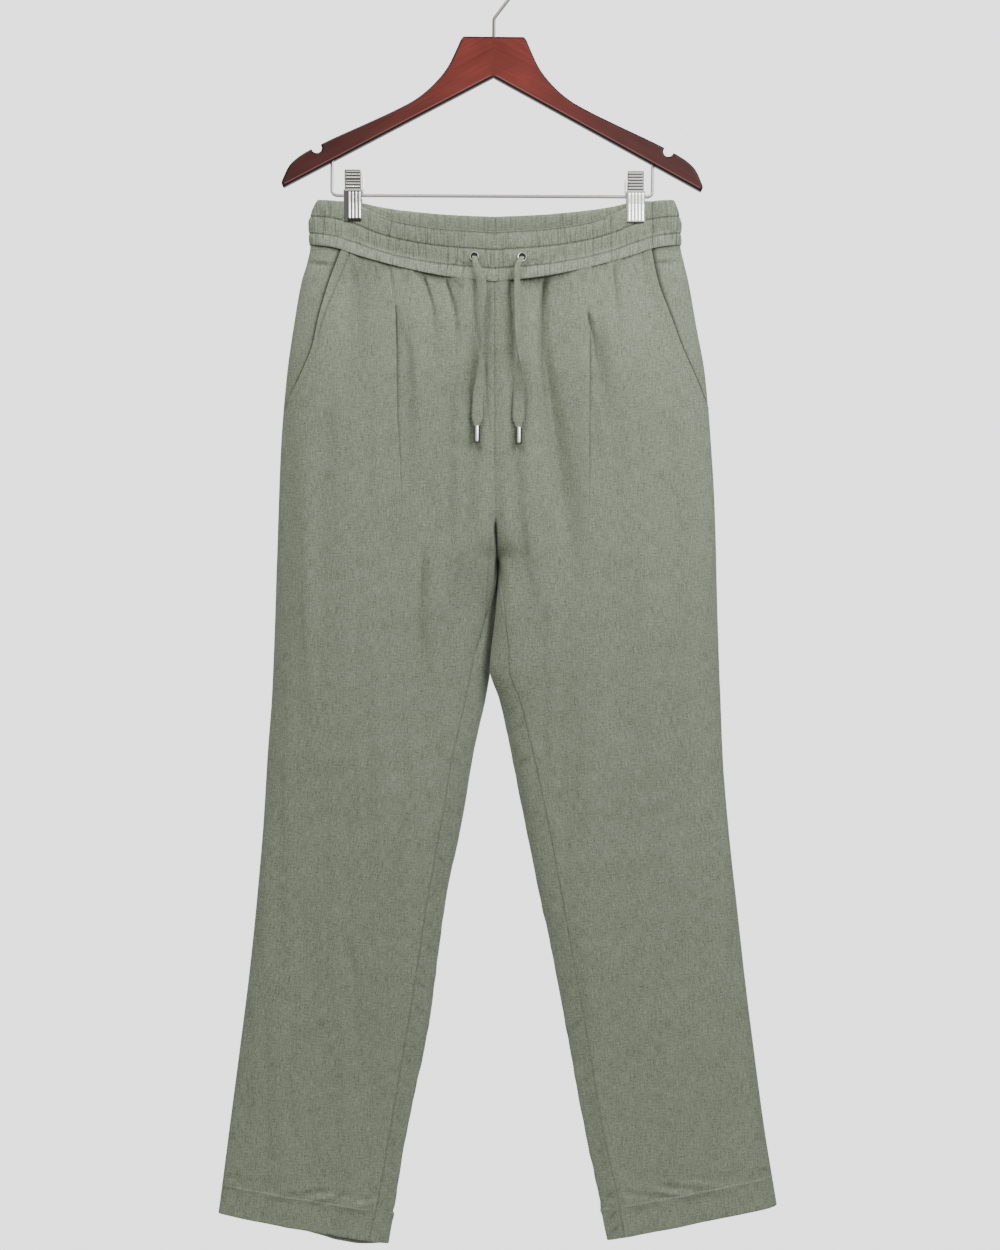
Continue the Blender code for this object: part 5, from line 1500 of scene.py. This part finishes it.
def wire(name, line, radius, finish):
    """A round wire along a smoothed line in millimetres, its ends rounded off."""
    line = np.asarray(line, float)
    along = unit(np.gradient(line, axis=0))
    side_axis = unit(np.cross(along, (0.0, 1.0, 0.0)))
    third = np.cross(along, side_axis)
    angle = np.linspace(0, 2 * math.pi, WIRE_SIDES, endpoint=False)
    rings = []
    for k in range(len(line)):
        circle = np.outer(np.cos(angle), side_axis[k]) + np.outer(np.sin(angle), third[k])
        rings.append(line[k] + radius * circle)
    caps_start, caps_end = [], []
    for share in (0.35, 0.75, 0.97):
        size, reach = math.cos(share * math.pi / 2), math.sin(share * math.pi / 2) * radius
        caps_start.insert(0, line[0] - along[0] * reach + (rings[0] - line[0]) * size)
        caps_end.append(line[-1] + along[-1] * reach + (rings[-1] - line[-1]) * size)
    rings = [*caps_start, *rings, *caps_end]
    faces = faces_between(len(rings), WIRE_SIDES)
    faces.append(tuple(range(WIRE_SIDES))[::-1])
    faces.append(tuple((len(rings) - 1) * WIRE_SIDES + i for i in range(WIRE_SIDES)))
    return piece_of(name, np.concatenate(rings), faces, finish)


bend = WOOD_TOP + HOOK_STEM
crook_centre = -(HOOK_RADIUS - HOOK_WIRE / 2)
hook_line = [(0, 0, z) for z in np.linspace(WOOD_TOP - HOOK_SEAT + 2.4, bend - 3.2, 12)]
hook_line += [(0.15, 0, bend - 2.0), (0.6, 0, bend - 0.7), (1.4, 0, bend + 0.8)]
hook_line += [(HOOK_RADIUS * math.cos(angle), 0, crook_centre + HOOK_RADIUS * math.sin(angle))
              for angle in np.radians(np.linspace(*HOOK_ARC, 64))]
hook = wire("wire_hook", tilted(hook_line), HOOK_WIRE / 2, wire_finish["hook"])
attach(hook, ROOT)
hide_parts("hanger_hook")

bar_line = []
for side, sign in (("left", -1), ("right", 1)):
    z = WOOD_TOP + BAR_DOWN[side]
    top = WOOD_TOP + float(np.interp(BAR_HALF, *ARM_UNDERSIDE)) + BAR_SEAT - 2.2
    half_line = [(sign * BAR_HALF, 0, t) for t in np.linspace(top, z + BAR_CORNER + 1.0, 8)]
    for a in np.linspace(0, math.pi / 2, 10):
        x = sign * (BAR_HALF - BAR_CORNER * (1 - math.cos(a)))
        half_line.append((x, 0, z + BAR_CORNER * (1 - math.sin(a))))
    bar_line += half_line if sign < 0 else half_line[::-1]
bar = wire("wire_bar", tilted(bar_line), BAR_WIRE / 2, wire_finish["bar"])
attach(bar, ROOT)
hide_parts("trouser_bar")


# ---------------------------------------------------------------- clips
# Each clip is two pressed and plated steel jaws, ribbed across the handle and down the grip, with
# toothed lips, sprung apart by a wound wire round the bar.
CLIP_Z = {"left": -240.6, "right": -242.3}
CLIP_GRIP, JAW_THICK = 3.3, 1.0
# height above the bar, half width, inner face
JAW_ROWS = np.array([
    (-28.2, 9.8, CLIP_GRIP),
    (-16.0, 9.8, CLIP_GRIP),
    (-8.0, 9.8, 3.9),
    (0.0, 9.8, 4.95),
    (5.0, 9.8, 5.6),
    (5.6, 8.6, 5.7),
    (25.8, 8.6, 9.5),
])
CROSS_RIBS = np.linspace(8.5, 24.0, 6)
LONG_RIBS = {"left": (-3.4, 0.1, 3.6, 7.2), "right": (-7.0, -3.5, 0.0, 3.5, 7.0)}
RIB_WIDE = {"left": 0.8, "right": 1.25}
CROSS_WIDE = {"left": 0.5, "right": 0.68}
# How far in from its left edge the grip is painted dark as shade.
DARK_FLANGE = {"left": 4.5, "right": 1.0}
RIB_HEIGHT, GRIP_TO, HANDLE_FROM = 0.75, 4.0, 6.5
SPRING_TURNS, SPRING_RADIUS, SPRING_WIRE = 8, 3.35, 1.8
clip_finish, clip_tree, clip_shader = finish_of("bright nickel plate", (0.80, 0.79, 0.77), 0.14, 1.0)
# Painted dark reflection and shade: the 'groove' values darken the grooves, flanges and lips on a bright
# base.
painted_groove_shade = node(clip_tree, "ShaderNodeAttribute", attribute_name="groove").outputs["Fac"]
clip_colour = coloured(clip_tree, painted_groove_shade, (0.95, 0.94, 0.92, 1), (0.035, 0.032, 0.030, 1))
link(clip_tree, clip_colour, clip_shader.inputs["Base Color"])
unevenly_polished(clip_tree, clip_shader, 300.0, 3.0, 0.10, 0.24)


def build_jaw(side, name, face):
    """A pressed plate: a fine grid, ribs raised on it, its sides bent back as flanges."""
    x0, z0 = CLIP_X[side], CLIP_Z[side]
    ups = np.linspace(JAW_ROWS[0, 0], JAW_ROWS[-1, 0], 100)
    shares = np.linspace(-1, 1, 47)
    grid, dark = [], []
    for up in ups:
        half = float(np.interp(up, JAW_ROWS[:, 0], JAW_ROWS[:, 1]))
        inner = float(np.interp(up, JAW_ROWS[:, 0], JAW_ROWS[:, 2]))
        across = shares * half
        ribs = np.zeros(len(shares))
        if up > HANDLE_FROM:
            cross = max(math.exp(-(((up - rib) / CROSS_WIDE[side]) ** 2)) for rib in CROSS_RIBS)
            ribs += RIB_HEIGHT * cross * (np.abs(across) < 7.6)
        elif up < GRIP_TO:
            apart = across - np.array(LONG_RIBS[side])[:, None]
            long = np.max(np.exp(-((apart / RIB_WIDE[side]) ** 2)), axis=0)
            ribs += RIB_HEIGHT * long * ease((GRIP_TO - up) / 2.0) * ease((up + 26.6) / 1.4)
        flange = np.clip((np.abs(across) - (half - 0.9)) / 0.9, 0, 1) ** 2 * 2.0
        depth = inner + JAW_THICK - 0.3 + ribs - flange
        z = np.full(len(shares), z0 + up)
        if up < -27.4:
            z = z + 0.7 * (np.sin(across * 2 * math.pi / 2.6) > 0)
        grid.append(np.stack([x0 + across, face * depth, z], axis=-1))
        # Painted dark reflection and shade in the grooves between ribs, on the grip's flanges, on the lips
        # and along the edges.
        groove = 1 - np.clip(ribs / 0.5, 0, 1)
        if GRIP_TO <= up <= HANDLE_FROM:
            groove = np.full(len(shares), 0.35)
        lip = float(ease(((-23.4 if side == "left" else -25.9) - up) / 1.0))
        groove = np.maximum(groove * (1.0 if side == "left" or up > HANDLE_FROM else 0.45), lip)
        if up < GRIP_TO:
            groove = np.where(across < DARK_FLANGE[side] - half, 0.9, groove)
        elif side == "left":
            groove = np.where(across < 1.6 - half, 0.8, groove)
        groove = np.where(across > half - 0.9, 0.8, groove)
        dark.append(groove)
    grid, dark = np.array(grid), np.array(dark)
    # The front jaw carries the full painted shade, the back jaw just over half.
    dark *= 0.55 + 0.45 * (face < 0)
    inside = grid.copy()
    inside[:, :, 1] = face * np.interp(ups, JAW_ROWS[:, 0], JAW_ROWS[:, 2])[:, None]
    count, wide = grid.shape[:2]
    points = np.concatenate([grid.reshape(-1, 3), inside.reshape(-1, 3)])
    base = count * wide
    faces = []
    for start, flip in ((0, False), (base, True)):
        for r in range(count - 1):
            for c in range(wide - 1):
                a = start + r * wide + c
                quad = (a, a + 1, a + 1 + wide, a + wide)
                faces.append(quad[::-1] if flip else quad)
    rim = [(0, c) for c in range(wide)] + [(r, wide - 1) for r in range(1, count)]
    rim += [(count - 1, c) for c in range(wide - 2, -1, -1)] + [(r, 0) for r in range(count - 2, 0, -1)]
    for k in range(len(rim)):
        a = rim[k][0] * wide + rim[k][1]
        b = rim[(k + 1) % len(rim)][0] * wide + rim[(k + 1) % len(rim)][1]
        faces.append((a, a + base, b + base, b))
    if face > 0:
        faces = [f[::-1] for f in faces]
    made = piece_of(f"clip_{side}_{name}", points, faces, clip_finish, 38)
    # The inner faces carry a little of the same painted shade.
    painted(made, "groove", np.concatenate([dark.ravel(), np.full(base, 0.3)]))
    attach(made, ROOT)
    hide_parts(f"clip_{side}_{name}_jaw")


for side in SIDES:
    inward = 1 if side == "left" else -1
    build_jaw(side, "front", -1)
    build_jaw(side, "back", 1)
    x0, z0 = CLIP_X[side], CLIP_Z[side]
    turns = np.linspace(0, 2 * math.pi * SPRING_TURNS, SPRING_TURNS * 20)
    coil = np.stack([x0 - inward * 8.4 + inward * 18.0 * turns / turns[-1],
                     SPRING_RADIUS * np.cos(turns), z0 + SPRING_RADIUS * np.sin(turns)], axis=-1)
    end = coil[-1]
    beside = x0 + inward * 10.7
    leg = np.stack([np.linspace(end[0], beside, 10), np.linspace(end[1], 0.0, 10),
                    np.linspace(end[2], z0 + 6.0, 10)], axis=-1)[1:]
    post = np.stack([np.full(8, beside), np.zeros(8), np.linspace(z0 + 7.5, z0 + 18.6, 8)], axis=-1)
    spring_line = np.concatenate([coil, leg, post])
    spring = wire(f"clip_{side}_spring_wire", spring_line, SPRING_WIRE / 2, clip_finish)
    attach(spring, ROOT)
    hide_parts(f"clip_{side}_spring")
